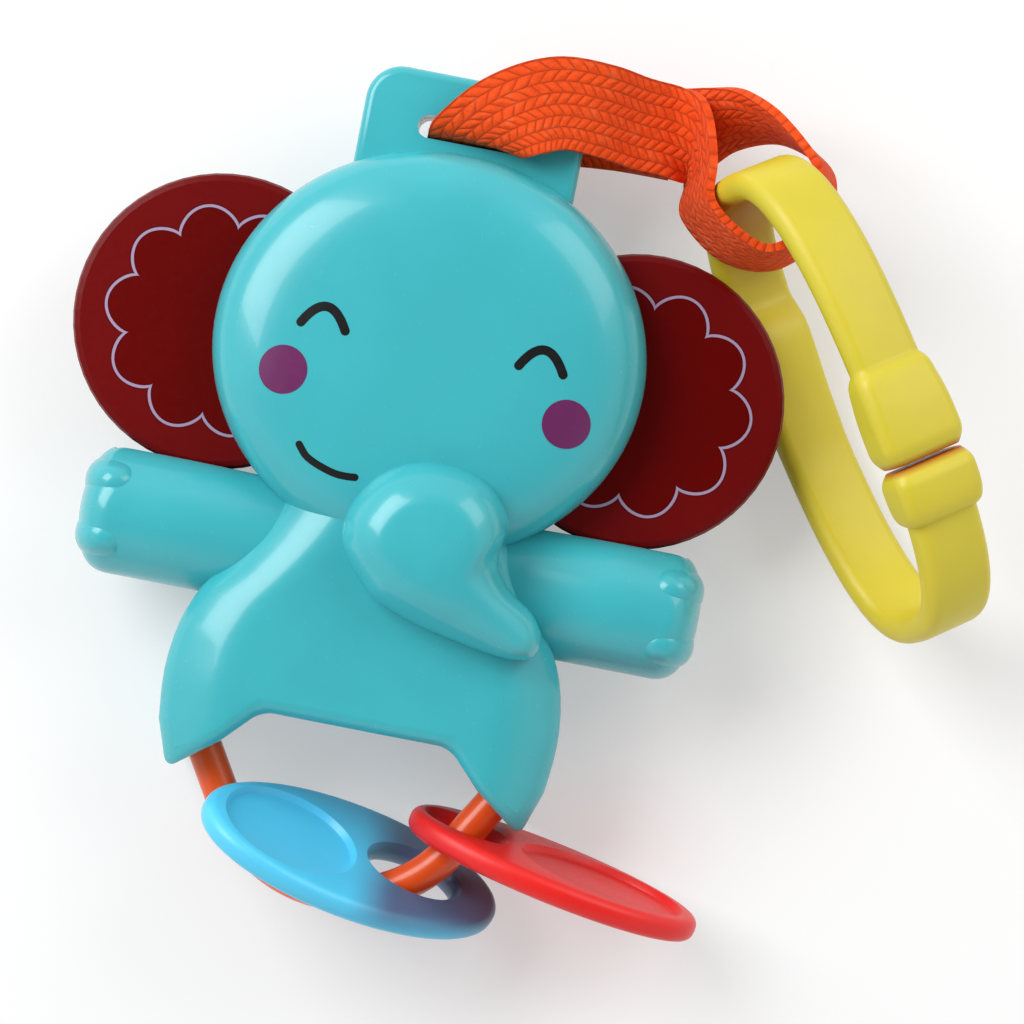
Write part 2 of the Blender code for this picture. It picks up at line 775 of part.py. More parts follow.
def cup_top():
    return BODY_FACE_HEIGHT - WALL - 2 * GAP - LID_THICKNESS


def rattle():
    """The cup in the belly, its lid with a skirt that drops inside the cup, and the loose beads."""
    cup = new_object("rattle_cup", cylinder(CUP_RADIUS, cup_base(), cup_top(), 0, CUP_Y, CUP_SIDES), PARTS)
    inside = cylinder(CUP_RADIUS - CUP_WALL, cup_floor(), cup_top() + OVERRUN, 0, CUP_Y, CUP_SIDES)
    boolean(cup, cutter_object("cup_inside", inside), "DIFFERENCE")
    bake(cup)
    finish(cup, WHITE)
    low = cup_top() + GAP
    cover = cylinder(CUP_RADIUS, low, low + LID_THICKNESS, 0, CUP_Y, CUP_SIDES)
    lid = new_object("rattle_lid", cover, PARTS)
    skirt_radius = CUP_RADIUS - CUP_WALL - GAP
    skirt = cylinder(skirt_radius, cup_top() - LID_SKIRT, low + LID_THICKNESS / 2, 0, CUP_Y, CUP_SIDES)
    boolean(lid, cutter_object("lid_skirt", skirt), "UNION")
    bake(lid)
    well_low = cup_top() - LID_SKIRT - OVERRUN
    well = cylinder(skirt_radius - LID_SKIRT_WALL, well_low, low, 0, CUP_Y, CUP_SIDES)
    boolean(lid, cutter_object("lid_well", well), "DIFFERENCE")
    bake(lid)
    finish(lid, WHITE)
    for index, place in enumerate(bead_places()):
        work = bmesh.new()
        bmesh.ops.create_uvsphere(work, u_segments=BALL_SIDES, v_segments=BALL_ROWS, radius=BEAD_RADIUS)
        bead = new_object(f"bead_{index + 1}", work, PARTS)
        bead.location = place
        finish(bead, BEAD)


def ring_stack(rings):
    """A closed solid through rings of the same number of points."""
    work = bmesh.new()
    made = [[work.verts.new(point) for point in ring] for ring in rings]
    for lower, upper in zip(made, made[1:]):
        count = len(lower)
        for index in range(count):
            after = (index + 1) % count
            work.faces.new((lower[index], lower[after], upper[after], upper[index]))
    work.faces.new(made[0][::-1])
    work.faces.new(made[-1])
    return work


def trunk():
    """The knob and its drop-shaped tail, cut to sit on the shell, with a peg into it."""
    flatness = TRUNK_HALF_HEIGHT / TRUNK_RADIUS
    work = bmesh.new()
    bmesh.ops.create_uvsphere(work, u_segments=TRUNK_SIDES, v_segments=TRUNK_ROWS, radius=TRUNK_RADIUS)
    bmesh.ops.scale(work, verts=work.verts, vec=(1, 1, flatness))
    middle = Vector((TRUNK_X, TRUNK_Y, TRUNK_MIDDLE_HEIGHT))
    bmesh.ops.translate(work, verts=work.verts, vec=middle)
    knob = new_object("trunk", work, PARTS)
    end = Vector((TRUNK_TAIL_X, TRUNK_TAIL_Y, TRUNK_MIDDLE_HEIGHT))
    across = (end - middle).cross(Vector((0, 0, 1))).normalized()
    rings = []
    for step in range(TRUNK_STEPS + TRUNK_TIP_STEPS):
        share = min(step / TRUNK_STEPS, 1)
        droop = TRUNK_DROOP * math.sin(math.pi * share)
        centre = middle.lerp(end, share) + across * droop
        radius = TRUNK_TAIL_RADIUS
        radius += (TRUNK_NECK_RADIUS - TRUNK_TAIL_RADIUS) * (1 - share) ** TRUNK_TAPER
        if step > TRUNK_STEPS:
            turn = math.pi / 2 * (step - TRUNK_STEPS) / TRUNK_TIP_STEPS
            centre = centre + (end - middle).normalized() * radius * math.sin(turn)
            radius *= math.cos(turn)
        ring = []
        for index in range(TRUNK_TAIL_SIDES):
            angle = 2 * math.pi * index / TRUNK_TAIL_SIDES
            offset = across * radius * math.cos(angle)
            offset.z = radius * math.sin(angle) * flatness
            ring.append(centre + offset)
        rings.append(ring)
    boolean(knob, cutter_object("trunk_tail", ring_stack(rings)), "UNION")
    bake(knob)
    boolean(knob, cutter_object("trunk_head_seat", head_form(-GAP, True)), "DIFFERENCE")
    seat = body_form(-GAP, True, body_outline())
    boolean(knob, cutter_object("trunk_body_seat", seat), "DIFFERENCE")
    boolean(knob, slab(0, TRUNK_EDGE_HEIGHT, "trunk_floor"), "DIFFERENCE")
    bake(knob)
    peg = cylinder(TRUNK_PEG_RADIUS, TRUNK_PEG_HEIGHT, TRUNK_MIDDLE_HEIGHT + WALL, TRUNK_X, TRUNK_Y)
    boolean(knob, cutter_object("trunk_peg", peg), "UNION")
    bake(knob)
    finish(knob, TEAL)


def ear(side, name):
    """An ear disc with a notched tail towards the middle of the head and a hole for its pivot boss."""
    work = round_prism(
        arc(0, 0, EAR_RADIUS, 0, 360 - 360 / EAR_SIDES, EAR_SIDES - 1),
        -EAR_THICKNESS / 2,
        EAR_THICKNESS / 2,
        EAR_RIM_ROUND,
        EAR_RIM_ROUND,
        EDGE_STEPS,
    )
    pivot = EAR_PIVOT_X - EAR_X
    obj = new_object(name, work, PARTS)
    pitch = math.degrees(EAR_SWING)
    tail = []
    for index in range(EAR_TOOTH_STEPS * EAR_TOOTH_COUNT + 1):
        place = index / EAR_TOOTH_STEPS - EAR_TOOTH_COUNT / 2
        angle = math.radians(180 + pitch * place)
        radius = EAR_TOOTH_RADIUS - EAR_TOOTH_DEPTH * (1 + math.cos(2 * math.pi * place)) / 2
        tail.append((pivot + radius * math.cos(angle), radius * math.sin(angle)))
    tail += [(pivot, -EAR_TAIL_ROOT), (pivot, EAR_TAIL_ROOT)]
    thin = EAR_THICKNESS / 2 - GAP
    plate = round_prism(tail, -thin, thin, 0, 0, 1)
    boolean(obj, cutter_object(name + "_tail", plate), "UNION")
    bake(obj)
    hole = BOSS_RADIUS + RUNNING_GAP
    bore = cylinder(hole, -EAR_THICKNESS, EAR_THICKNESS, pivot, 0, EAR_BORE_SIDES)
    boolean(obj, cutter_object(name + "_bore", bore), "DIFFERENCE")
    bake(obj)
    if side < 0:
        obj.data.transform(Matrix.Rotation(math.pi, 4, "Z"))
    obj.data.transform(Matrix.Translation((-side * pivot, 0, 0)))
    obj.location = (side * EAR_PIVOT_X, EAR_Y, PART_HEIGHT)
    finish(obj, EAR_RED)
    for cut in (name + "_tail", name + "_bore"):
        bpy.data.objects.remove(bpy.data.objects[cut])


def click_spring():
    """A U-shaped spring with a bump on each prong, which faces the notches of both ears."""
    half = SPRING_HALF
    thin = SPRING_THICKNESS
    bump_tip = EAR_PIVOT_X - EAR_TOOTH_RADIUS - GAP
    bend_y = SPRING_ROOT_Y + half
    outer = arc(0, bend_y, half + thin, 180, 360, SPRING_BEND_STEPS)
    inner = arc(0, bend_y, half, 360, 180, SPRING_BEND_STEPS)
    right = [
        (half + thin, EAR_Y - 2 * SPRING_BUMP_RADIUS),
        (bump_tip, EAR_Y - SPRING_BUMP_RADIUS / 2),
        (bump_tip, EAR_Y + SPRING_BUMP_RADIUS / 2),
        (half + thin, EAR_Y + 2 * SPRING_BUMP_RADIUS),
        (half + thin, SPRING_FREE_Y),
        (half, SPRING_FREE_Y),
    ]
    left = [(-x, y) for x, y in reversed(right)]
    outline = outer + right + inner + left
    low = PART_HEIGHT - SPRING_HEIGHT / 2
    obj = new_object("click_spring", round_prism(outline, low, low + SPRING_HEIGHT, 0, 0, 1), PARTS)
    finish(obj, WHITE)


def teether_bar():
    points, radius, centre_y = bar_route()
    route = [(x, y, PART_HEIGHT) for x, y in points]
    obj = new_object("teether_bar", tube_from(route, BAR_RADIUS, "teether_bar"), PARTS)
    for side, top, direction in collar_places():
        collar = collar_form(top, direction, BAR_COLLAR_RADIUS, BAR_COLLAR_LENGTH, 0)
        boolean(obj, cutter_object(f"bar_collar_{side}", collar), "UNION")
    bake(obj)
    finish(obj, ORANGE)


def ellipse(half_x, half_y, x, sides):
    points = []
    for index in range(sides):
        turn = 2 * math.pi * index / sides
        points.append((x + half_x * math.cos(turn), half_y * math.sin(turn)))
    return points


def leaf(name, size, eye, bar_x, turn, drop, paint):
    """A leaf teether: a thick soft rim, a thin web with veins, and an eye that the bar goes through."""
    length, width = size
    eye_at, eye_length, eye_width = eye
    half = LEAF_RIM_THICKNESS / 2
    outline = ellipse(length / 2, width / 2, 0, LEAF_SIDES)
    obj = new_object(name, round_prism(outline, -half, half, LEAF_ROUND, LEAF_ROUND, EDGE_STEPS), PARTS)
    eye_x = eye_at - length / 2
    web_start = eye_x + eye_length / 2 + LEAF_RIM_BAND
    web_end = length / 2 - LEAF_RIM_BAND
    web_x = (web_start + web_end) / 2
    web_half = (web_end - web_start) / 2
    for side in (-1, 1):
        near = side * LEAF_WEB_THICKNESS / 2
        far = side * (half + OVERRUN)
        reach = width / 2 * math.sqrt(1 - (2 * web_x / length) ** 2) - LEAF_RIM_BAND
        inner = ellipse(web_half, reach, web_x, LEAF_INNER_SIDES)
        pocket = round_prism(inner, min(near, far), max(near, far), 0, 0, 1)
        boolean(obj, cutter_object(f"{name}_web_{side}", pocket), "DIFFERENCE")
    rings = []
    for level, growth in ((-1, 1), (-1, 0), (1, 0), (1, 1)):
        grow = 2 * growth * LEAF_EYE_ROUND
        height = level * (half - LEAF_EYE_ROUND + grow)
        ring = ellipse(eye_length / 2 + grow, eye_width / 2 + grow, eye_x, LEAF_INNER_SIDES)
        rings.append([(x, y, height) for x, y in ring])
    boolean(obj, cutter_object(name + "_eye", ring_stack(rings)), "DIFFERENCE")
    bake(obj)
    vein_rise = LEAF_WEB_THICKNESS / 2 + LEAF_VEIN_RISE
    for index, angle in enumerate((0, 1, -1)):
        work = bmesh.new()
        bmesh.ops.create_cube(work, size=1)
        along = 2 * web_half + LEAF_RIM_BAND / 2 if angle == 0 else 2 * reach
        bmesh.ops.scale(work, verts=work.verts, vec=(along, LEAF_VEIN_WIDTH, 2 * vein_rise))
        veer = Matrix.Rotation(angle * LEAF_VEIN_TURN, 4, "Z")
        bmesh.ops.transform(work, verts=work.verts, matrix=Matrix.Translation((web_x, 0, 0)) @ veer)
        boolean(obj, cutter_object(f"{name}_vein_{index}", work), "UNION")
    bake(obj)
    obj.data.transform(Matrix.Translation((-eye_x, 0, 0)))
    obj.data.transform(Matrix.Translation((0, 0, -drop)) @ leaf_turn(*turn))
    obj.location = bar_point(bar_x)
    finish(obj, paint)
    for cut in [o for o in CUTTERS.objects if o.name.startswith(name + "_")]:
        bpy.data.objects.remove(cut)


def leaf_turn(heading, rise, lean):
    """Turns a leaf from flat on its face to its place: along its length, then up, then over its length."""
    along = Vector((math.cos(heading) * math.cos(rise), math.sin(heading) * math.cos(rise), math.sin(rise)))
    level = Vector((-math.sin(heading), math.cos(heading), 0))
    normal = level * math.cos(lean) + along.cross(level) * math.sin(lean)
    return Matrix((along, normal.cross(along), normal)).transposed().to_4x4()


def link_frame():
    along = Vector((math.cos(LINK_HEADING), math.sin(LINK_HEADING), 0))
    level = Vector((-along.y, along.x, 0))
    short = level * math.sin(LINK_LEAN) + Vector((0, 0, 1)) * math.cos(LINK_LEAN)
    normal = along.cross(short)
    reach = LINK_WIDTH / 2 * math.cos(LINK_LEAN) + LINK_BAND / 2 * math.sin(LINK_LEAN)
    top = Vector((LINK_TOP_X, LINK_TOP_Y, reach + LINK_CROWN + 2 * GAP))
    return top + along * LINK_LENGTH / 2, along, short, normal


def signed_power(value, power):
    return math.copysign(abs(value) ** power, value)


def link_ring():
    """The long C-shaped ring: a flat band round an oval, slit between two thick ends."""
    centre, along, short, normal = link_frame()
    rings = []
    length = LINK_LENGTH / 2
    width = LINK_WIDTH / 2
    slit = math.acos((LINK_SLIT_ALONG / length) ** (1 / LINK_CURVE_SHARE))
    opening = LINK_SLIT / 2 / width
    for step in range(LINK_STEPS + 1):
        turn = 2 * math.pi * step / LINK_STEPS
        turn -= LINK_STEPS_NEAR_SLIT_SHARE * math.sin(turn)
        angle = slit + opening + turn * (1 - opening / math.pi)
        ends, rise = link_swell(angle - slit)
        along_share = signed_power(math.cos(angle), LINK_CURVE_SHARE)
        short_share = signed_power(math.sin(angle), LINK_CURVE_SHARE)
        place = along * length * along_share + short * width * short_share
        outward = along * signed_power(math.cos(angle), 2 - LINK_CURVE_SHARE) / length
        outward += short * signed_power(math.sin(angle), 2 - LINK_CURVE_SHARE) / width
        outward.normalize()
        ring = []
        for across, depth in link_section(ends, rise):
            ring.append(centre + place - outward * depth + normal * across)
        rings.append(ring)
    obj = new_object("link_ring", ring_stack(rings), PARTS)
    pivot = link_pivot()
    obj.data.transform(Matrix.Translation(-pivot))
    obj.location = pivot
    finish(obj, YELLOW)


def link_swell(turn):
    """Shares of the knuckles' form: at both ends beside the slit, and with the bulge opposite to it."""
    away = LINK_LENGTH / 2 * min(abs(turn), abs(2 * math.pi - turn))
    ends = math.cos(math.pi / 2 * min(away / LINK_KNUCKLE_LENGTH, 1) ** LINK_KNUCKLE_FALL)
    if away < LINK_KNUCKLE_ROUND:
        ends -= (1 - LINK_KNUCKLE_END_SHARE) * (1 - away / LINK_KNUCKLE_ROUND) ** 2
    opposite = LINK_LENGTH / 2 * abs(turn - math.pi)
    bulge = math.cos(math.pi / 2 * min(opposite / LINK_KNUCKLE_LENGTH, 1)) ** 2
    return ends, max(ends, bulge)


def link_section(ends, rise):
    """The band's section, as places across it and depths inward from the oval."""
    half = LINK_BAND / 2 + LINK_KNUCKLE_SPREAD * ends
    flat = half - LINK_ROUND
    outer = -LINK_KNUCKLE_RISE * rise
    inner = LINK_THICKNESS + LINK_KNUCKLE_RISE * rise
    return [
        (-half, outer + LINK_ROUND),
        (-flat, outer),
        (0, outer - LINK_CROWN),
        (flat, outer),
        (half, outer + LINK_ROUND),
        (half, inner - LINK_ROUND),
        (flat, inner),
        (0, inner),
        (-flat, inner),
        (-half, inner - LINK_ROUND),
    ]


def link_pivot():
    """The middle of the end turn that hangs in the strap's loop."""
    centre, along, short, normal = link_frame()
    return centre - along * (LINK_LENGTH / 2 - LINK_WIDTH / 2)


def smooth_route(route, substeps):
    """Places, ways and width shares along a smooth curve through the route's own points."""
    places = [Vector(place) for place, way, share in route]
    ways = [Vector(way).normalized() for place, way, share in route]
    widths = [share for place, way, share in route]
    made = []
    for index in range(len(route) - 1):
        for step in range(substeps):
            share = step / substeps
            way = spline(ways, index, share).normalized()
            made.append((spline(places, index, share), way, spline(widths, index, share)))
    made.append((places[-1], ways[-1], widths[-1]))
    return made


def spline(values, index, share):
    last = len(values) - 1
    first, second = values[max(index - 1, 0)], values[index]
    third, fourth = values[index + 1], values[min(index + 2, last)]
    return (
        second * 2
        + (third - first) * share
        + (first * 2 - second * 5 + third * 4 - fourth) * share**2
        + (second * 3 - first - third * 3 + fourth) * share**3
    ) / 2


def strap():
    """Flat webbing along its route, as an open ribbon with its thickness given by Solidify."""
    work = bmesh.new()
    rows = []
    for place, way, left in smooth_route(STRAP_ROUTE, STRAP_SUBSTEPS):
        row = [work.verts.new(place + way * STRAP_WIDTH * left * share) for share in STRAP_ROW_SHARES]
        rows.append(row)
    for row, after in zip(rows, rows[1:]):
        for index in range(len(row) - 1):
            work.faces.new((row[index], row[index + 1], after[index + 1], after[index]))
    obj = new_object("strap", work, PARTS)
    solid = obj.modifiers.new("Thickness", "SOLIDIFY")
    solid.thickness = STRAP_THICKNESS
    solid.offset = 0
    solid.use_even_offset = False
    bake(obj)
    finish(obj, WEBBING)


def screws():
    mesh = None
    for index, (x, y) in enumerate(screw_places()):
        if mesh is None:
            head_low = SCREW_SEAT_HEIGHT - GAP - SCREW_HEAD_HEIGHT
            head = cylinder(SCREW_HEAD_RADIUS, 0, SCREW_HEAD_HEIGHT, 0, 0, SCREW_HEAD_SIDES)
            obj = new_object("screw_1", head, PARTS)
            top = SCREW_TIP_HEIGHT - head_low
            shank = cylinder(SCREW_SHANK_RADIUS, SCREW_HEAD_HEIGHT / 2, top, 0, 0, SCREW_SHANK_SIDES)
            boolean(obj, cutter_object("screw_shank", shank), "UNION")
            bake(obj)
            drive = cylinder(SCREW_DRIVE_RADIUS, -OVERRUN, SCREW_DRIVE_DEPTH, 0, 0, SCREW_DRIVE_SIDES)
            boolean(obj, cutter_object("screw_drive", drive), "DIFFERENCE")
            bake(obj)
            finish(obj, STEEL)
            mesh = obj.data
            for cut in ("screw_shank", "screw_drive"):
                bpy.data.objects.remove(bpy.data.objects[cut])
        else:
            obj = bpy.data.objects.new(f"screw_{index + 1}", mesh)
            PARTS.objects.link(obj)
        obj.location = (x, y, head_low)


def collection(name):
    made = bpy.data.collections.new(name)
    bpy.context.scene.collection.children.link(made)
    return made


for startup in list(bpy.data.objects):
    bpy.data.objects.remove(startup)
PARTS = collection("rattle_teether")
CUTTERS = collection("cutters")
TEAL = material("teal plastic", (0.08, 0.57, 0.62), 0.18)
EAR_RED = material("ear plastic", (0.17, 0.004, 0.007), 0.25)
ORANGE = material("orange plastic", (0.82, 0.09, 0.01), 0.3)
BLUE = material("blue soft plastic", (0.11, 0.56, 0.91), 0.35)
RED = material("red soft plastic", (0.75, 0.015, 0.012), 0.3)
YELLOW = material("yellow plastic", (0.76, 0.64, 0.08), 0.45)
WEBBING = material("orange webbing", (0.78, 0.06, 0.01), 0.85)
WHITE = material("natural plastic", (0.8, 0.8, 0.76), 0.4)
BEAD = material("bead plastic", (0.8, 0.75, 0.5), 0.3)
STEEL = material("screw steel", (0.6, 0.6, 0.62), 0.35, 1.0)

shell(True)
shell(False)
trunk()
ear(-1, "ear_left")
ear(1, "ear_right")
click_spring()
rattle()
teether_bar()
BLUE_SIZE = (BLUE_LENGTH, BLUE_WIDTH)
BLUE_EYE = (BLUE_EYE_AT, BLUE_EYE_LENGTH, BLUE_EYE_WIDTH)
BLUE_TURN = (BLUE_HEADING, BLUE_RISE, BLUE_LEAN)
leaf("blue_teether", BLUE_SIZE, BLUE_EYE, BLUE_BAR_X, BLUE_TURN, BLUE_DROP, BLUE)
RED_SIZE = (RED_LENGTH, RED_WIDTH)
RED_EYE = (RED_EYE_AT, RED_EYE_LENGTH, RED_EYE_WIDTH)
RED_TURN = (RED_HEADING, RED_RISE, RED_LEAN)
leaf("red_teether", RED_SIZE, RED_EYE, RED_BAR_X, RED_TURN, RED_DROP, RED)
link_ring()
strap()
screws()
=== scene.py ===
"""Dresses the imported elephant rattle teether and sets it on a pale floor."""

import math

import bmesh
import bpy
from mathutils import Matrix, Vector


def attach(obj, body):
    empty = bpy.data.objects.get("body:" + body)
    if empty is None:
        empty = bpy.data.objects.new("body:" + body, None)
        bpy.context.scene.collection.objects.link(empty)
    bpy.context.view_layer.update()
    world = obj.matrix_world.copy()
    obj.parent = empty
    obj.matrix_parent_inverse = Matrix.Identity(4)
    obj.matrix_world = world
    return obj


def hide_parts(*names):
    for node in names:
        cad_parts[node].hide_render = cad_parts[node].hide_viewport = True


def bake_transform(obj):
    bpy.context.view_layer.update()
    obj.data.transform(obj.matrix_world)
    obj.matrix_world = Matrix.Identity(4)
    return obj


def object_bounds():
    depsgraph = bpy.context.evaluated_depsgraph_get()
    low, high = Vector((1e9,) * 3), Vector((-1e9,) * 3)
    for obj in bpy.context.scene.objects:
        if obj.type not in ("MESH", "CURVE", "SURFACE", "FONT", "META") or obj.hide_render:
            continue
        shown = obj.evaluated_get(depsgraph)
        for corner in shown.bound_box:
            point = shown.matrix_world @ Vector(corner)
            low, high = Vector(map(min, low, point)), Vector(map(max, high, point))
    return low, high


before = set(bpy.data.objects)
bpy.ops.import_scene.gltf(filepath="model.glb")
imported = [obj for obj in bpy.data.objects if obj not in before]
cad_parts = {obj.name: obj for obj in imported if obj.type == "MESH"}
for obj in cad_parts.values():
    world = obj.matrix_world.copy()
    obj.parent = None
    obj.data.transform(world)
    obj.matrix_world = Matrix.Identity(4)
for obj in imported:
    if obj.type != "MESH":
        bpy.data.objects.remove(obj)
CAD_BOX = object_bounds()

bl_info = {
    "name": "Elephant Rattle Teether",
    "version": (1, 0, 0),
    "blender": (4, 5, 0),
    "location": "View3D > Sidebar > Teether",
    "description": "Builds the dressed rattle teether, its floor, lights and camera",
    "category": "Object",
}

# The height of the shells' parting plane, and half of the gap there
PART_HEIGHT = 0.0150
HALF_GAP = 0.00015
BOTH = (-1, 1)

# The power of the head's superellipse, the height of both arms and the middle of the right ear
HEAD_POWER = 4.2
ARM_Y = -0.0325
EAR_CENTRE = (0.0326, -0.0010)


# Properties


def number_value(name, description, default, **kind):
    return bpy.props.FloatProperty(name=name, description=description, default=default, **kind)


def length_value(name, description, default):
    return number_value(name, description, default, unit="LENGTH", precision=5)


def colour_value(name, description, default):
    return bpy.props.FloatVectorProperty(
        name=name, description=description, default=default, subtype="COLOR", min=0, max=1
    )


class TeetherSizes(bpy.types.PropertyGroup):
    head_half_x: length_value("Head half width", "Half of the head's width", 0.0334)
    head_half_y: length_value("Head half height", "Half of the head's height", 0.0311)
    head_top: length_value("Head top", "Height of the face above the floor", 0.0300)
    body_top: length_value("Body top", "Height of the belly above the floor", 0.0265)
    body_edge: length_value("Body edge", "Radius of the rounded edge of belly and legs", 0.0022)
    arm_radius: length_value("Arm radius", "Radius of an arm", 0.0100)
    arm_end: length_value("Arm end", "Distance of an arm's end from the middle", 0.0483)
    eye_span: length_value("Eye half span", "Half of the width of a printed eye", 0.0034)
    eye_stroke: length_value("Eye stroke", "Width of the printed line of an eye", 0.0014)
    smile_stroke: length_value("Smile stroke", "Width of the printed smile", 0.0011)
    cheek_radius: length_value("Cheek radius", "Radius of a printed cheek", 0.0037)
    scallop_low: length_value("Scallop inner", "Least distance of the ear's line from its middle", 0.0146)
    scallop_high: length_value("Scallop outer", "Greatest distance of the ear's line", 0.0178)
    scallop_stroke: length_value("Scallop stroke", "Width of the ear's line", 0.00034)
    strap_width: length_value("Strap width", "Width of the webbing", 0.0142)
    strap_thickness: length_value("Strap thickness", "Thickness of the webbing", 0.0013)
    rib_pitch: length_value("Webbing rib", "Width of one column of the weave", 0.00175)
    stitch_pitch: length_value("Webbing stitch", "Length of one stitch of the weave", 0.0017)


class TeetherColours(bpy.types.PropertyGroup):
    teal: colour_value("Teal", "Shells and trunk", (0.053, 0.480, 0.540))
    print_black: colour_value("Print", "Eyes and smile", (0.006, 0.006, 0.007))
    cheek: colour_value("Cheek", "Printed cheeks", (0.150, 0.018, 0.112))
    ear: colour_value("Ear", "Ear discs", (0.128, 0.0005, 0.0002))
    # The lighter rim is partly the rim's own lighter, more matt surface and partly a painted sheen
    ear_rim_and_sheen: colour_value("Ear rim", "Lighter rim of the ears", (0.160, 0.0030, 0.0035))
    # Painted highlight: the pale line stands for light on the edge of a step in the ear
    ear_step_highlight: colour_value("Ear line", "Scalloped line on the ears", (0.40, 0.31, 0.46))
    orange: colour_value("Bar", "Teether bar", (0.92, 0.095, 0.006))
    blue: colour_value("Blue leaf", "Blue leaf teether", (0.100, 0.640, 0.960))
    # Painted shadow: the purple of the red leaf's shadow on the blue leaf near its eye
    red_leaf_shadow: colour_value("Violet", "Deep tint at the blue leaf's eye", (0.085, 0.075, 0.180))
    red: colour_value("Red leaf", "Red leaf teether", (0.86, 0.014, 0.011))
    yellow: colour_value("Link", "Snap link", (0.70, 0.585, 0.036))
    # Painted shade: the deeper orange stands for the shade in the link's slit
    slit: colour_value("Slit", "Deep tint in the link's slit", (0.50, 0.13, 0.004))
    webbing: colour_value("Webbing", "Strap", (0.95, 0.085, 0.008))
    natural: colour_value("Inside plastic", "Spring, cup and lid", (0.78, 0.78, 0.74))
    bead: colour_value("Beads", "Rattle beads", (0.80, 0.72, 0.45))
    steel: colour_value("Screws", "Screw steel", (0.58, 0.58, 0.60))
    floor: colour_value("Floor", "Floor and backdrop", (0.66, 0.66, 0.66))


class TeetherStage(bpy.types.PropertyGroup):
    turn: number_value("Camera turn", "Turn of the camera about its view", math.radians(11), subtype="ANGLE")
    distance: length_value("Camera distance", "Camera's height above the toy's middle", 0.550)
    lens: number_value("Lens", "Focal length of the camera in millimetres", 125.7, unit="CAMERA")
    key_power: number_value("Key light", "Power of the main lamp in watts", 5.3, unit="POWER")
    fill_power: number_value("Fill light", "Power of the second lamp in watts", 1.4, unit="POWER")


def sizes():
    return bpy.context.scene.teether_sizes


def colours():
    return bpy.context.scene.teether_colours


# Node helpers


def fill(made, key, value):
    """Gives one input of a node, by name or number, a value or a link."""
    if isinstance(value, bpy.types.NodeSocket):
        made.id_data.links.new(value, made.inputs[key])
    else:
        made.inputs[key].default_value = value


def feed(made, **sockets):
    """Fills inputs of a node by their names, with _ for a space."""
    for name, value in sockets.items():
        fill(made, name.replace("_", " "), value)


def put(tree, kind, settings=None, **sockets):
    """Adds a node, sets its options and fills its inputs."""
    made = tree.nodes.new(kind)
    for name, value in (settings or {}).items():
        setattr(made, name, value)
    feed(made, **sockets)
    return made


def tree_of(*values):
    """The node tree of the first socket among some values."""
    return next(value.id_data for value in values if isinstance(value, bpy.types.NodeSocket))


def calc(operation, *values):
    """A Math node on sockets or numbers, whose result comes back as a socket."""
    made = put(tree_of(*values), "ShaderNodeMath", {"operation": operation})
    for index, value in enumerate(values):
        fill(made, index, value)
    return made.outputs[0]


def fade(value, start, end, low=0.0, high=1.0):
    """A smooth step of a value between two bounds."""
    return put(value.id_data, "ShaderNodeMapRange", {"interpolation_type": "SMOOTHSTEP"}, Value=value,
               From_Min=start, From_Max=end, To_Min=low, To_Max=high).outputs[0]


def blend_colour(share, first, second, mode="MIX"):
    """A mix of two colours, each a socket or three numbers."""
    made = put(tree_of(share, first, second), "ShaderNodeMix", {"data_type": "RGBA", "blend_type": mode})
    fill(made, 0, share)
    for key, value in ((6, first), (7, second)):
        fill(made, key, value if isinstance(value, bpy.types.NodeSocket) else (*value, 1.0))
    return made.outputs[2]


def noise(place, scale, detail, **more):
    """The value of a noise texture."""
    made = put(place.id_data, "ShaderNodeTexNoise", Vector=place, Scale=scale, Detail=detail, **more)
    return made.outputs["Fac"]


def axes(place):
    """The X, Y and Z of a vector."""
    return put(place.id_data, "ShaderNodeSeparateXYZ", Vector=place).outputs


def shared_group(name, inputs, outputs, build):
    """A shader group that is built once. Place and Normal are vectors, the rest are numbers."""
    if name not in bpy.data.node_groups:
        tree = bpy.data.node_groups.new(name, "ShaderNodeTree")
        for way, labels in (("INPUT", inputs), ("OUTPUT", outputs)):
            for label in labels:
                kind = "NodeSocketVector" if label in ("Place", "Normal") else "NodeSocketFloat"
                tree.interface.new_socket(name=label, in_out=way, socket_type=kind)
        made = build(*tree.nodes.new("NodeGroupInput").outputs[:len(inputs)])
        feed(tree.nodes.new("NodeGroupOutput"), **made)
    return bpy.data.node_groups[name]


# Node groups and materials


def moulded_surface(place, strength, roughness):
    """Fine unevenness of moulded plastic: a tint shift, a roughness shift and a normal."""
    tree = place.id_data
    cloudy = noise(place, 55.0, 3.0)
    scuff = noise(place, 900.0, 5.0, Roughness=0.65)
    stretched = put(tree, "ShaderNodeMapping", Vector=place, Scale=(1.0, 0.12, 1.0), Rotation=(0.0, 0.0, 0.6))
    hair = fade(noise(stretched.outputs[0], 1600.0, 2.0), 0.66, 0.74)
    shift = calc("ADD", fade(scuff, 0.35, 0.75, -0.02, 0.04), calc("MULTIPLY", hair, 0.02))
    height = calc("ADD", noise(place, 140.0, 2.0), calc("MULTIPLY", scuff, 0.03))
    bump = put(tree, "ShaderNodeBump", Strength=strength, Distance=0.0001, Height=height)
    return {"Tint": fade(cloudy, 0.3, 0.7, 0.96, 1.03), "Roughness": calc("ADD", roughness, shift),
            "Normal": bump.outputs[0]}


def moulded_group():
    return shared_group("Moulded plastic", ("Place", "Strength", "Roughness"), ("Tint", "Roughness", "Normal"),
                        moulded_surface)


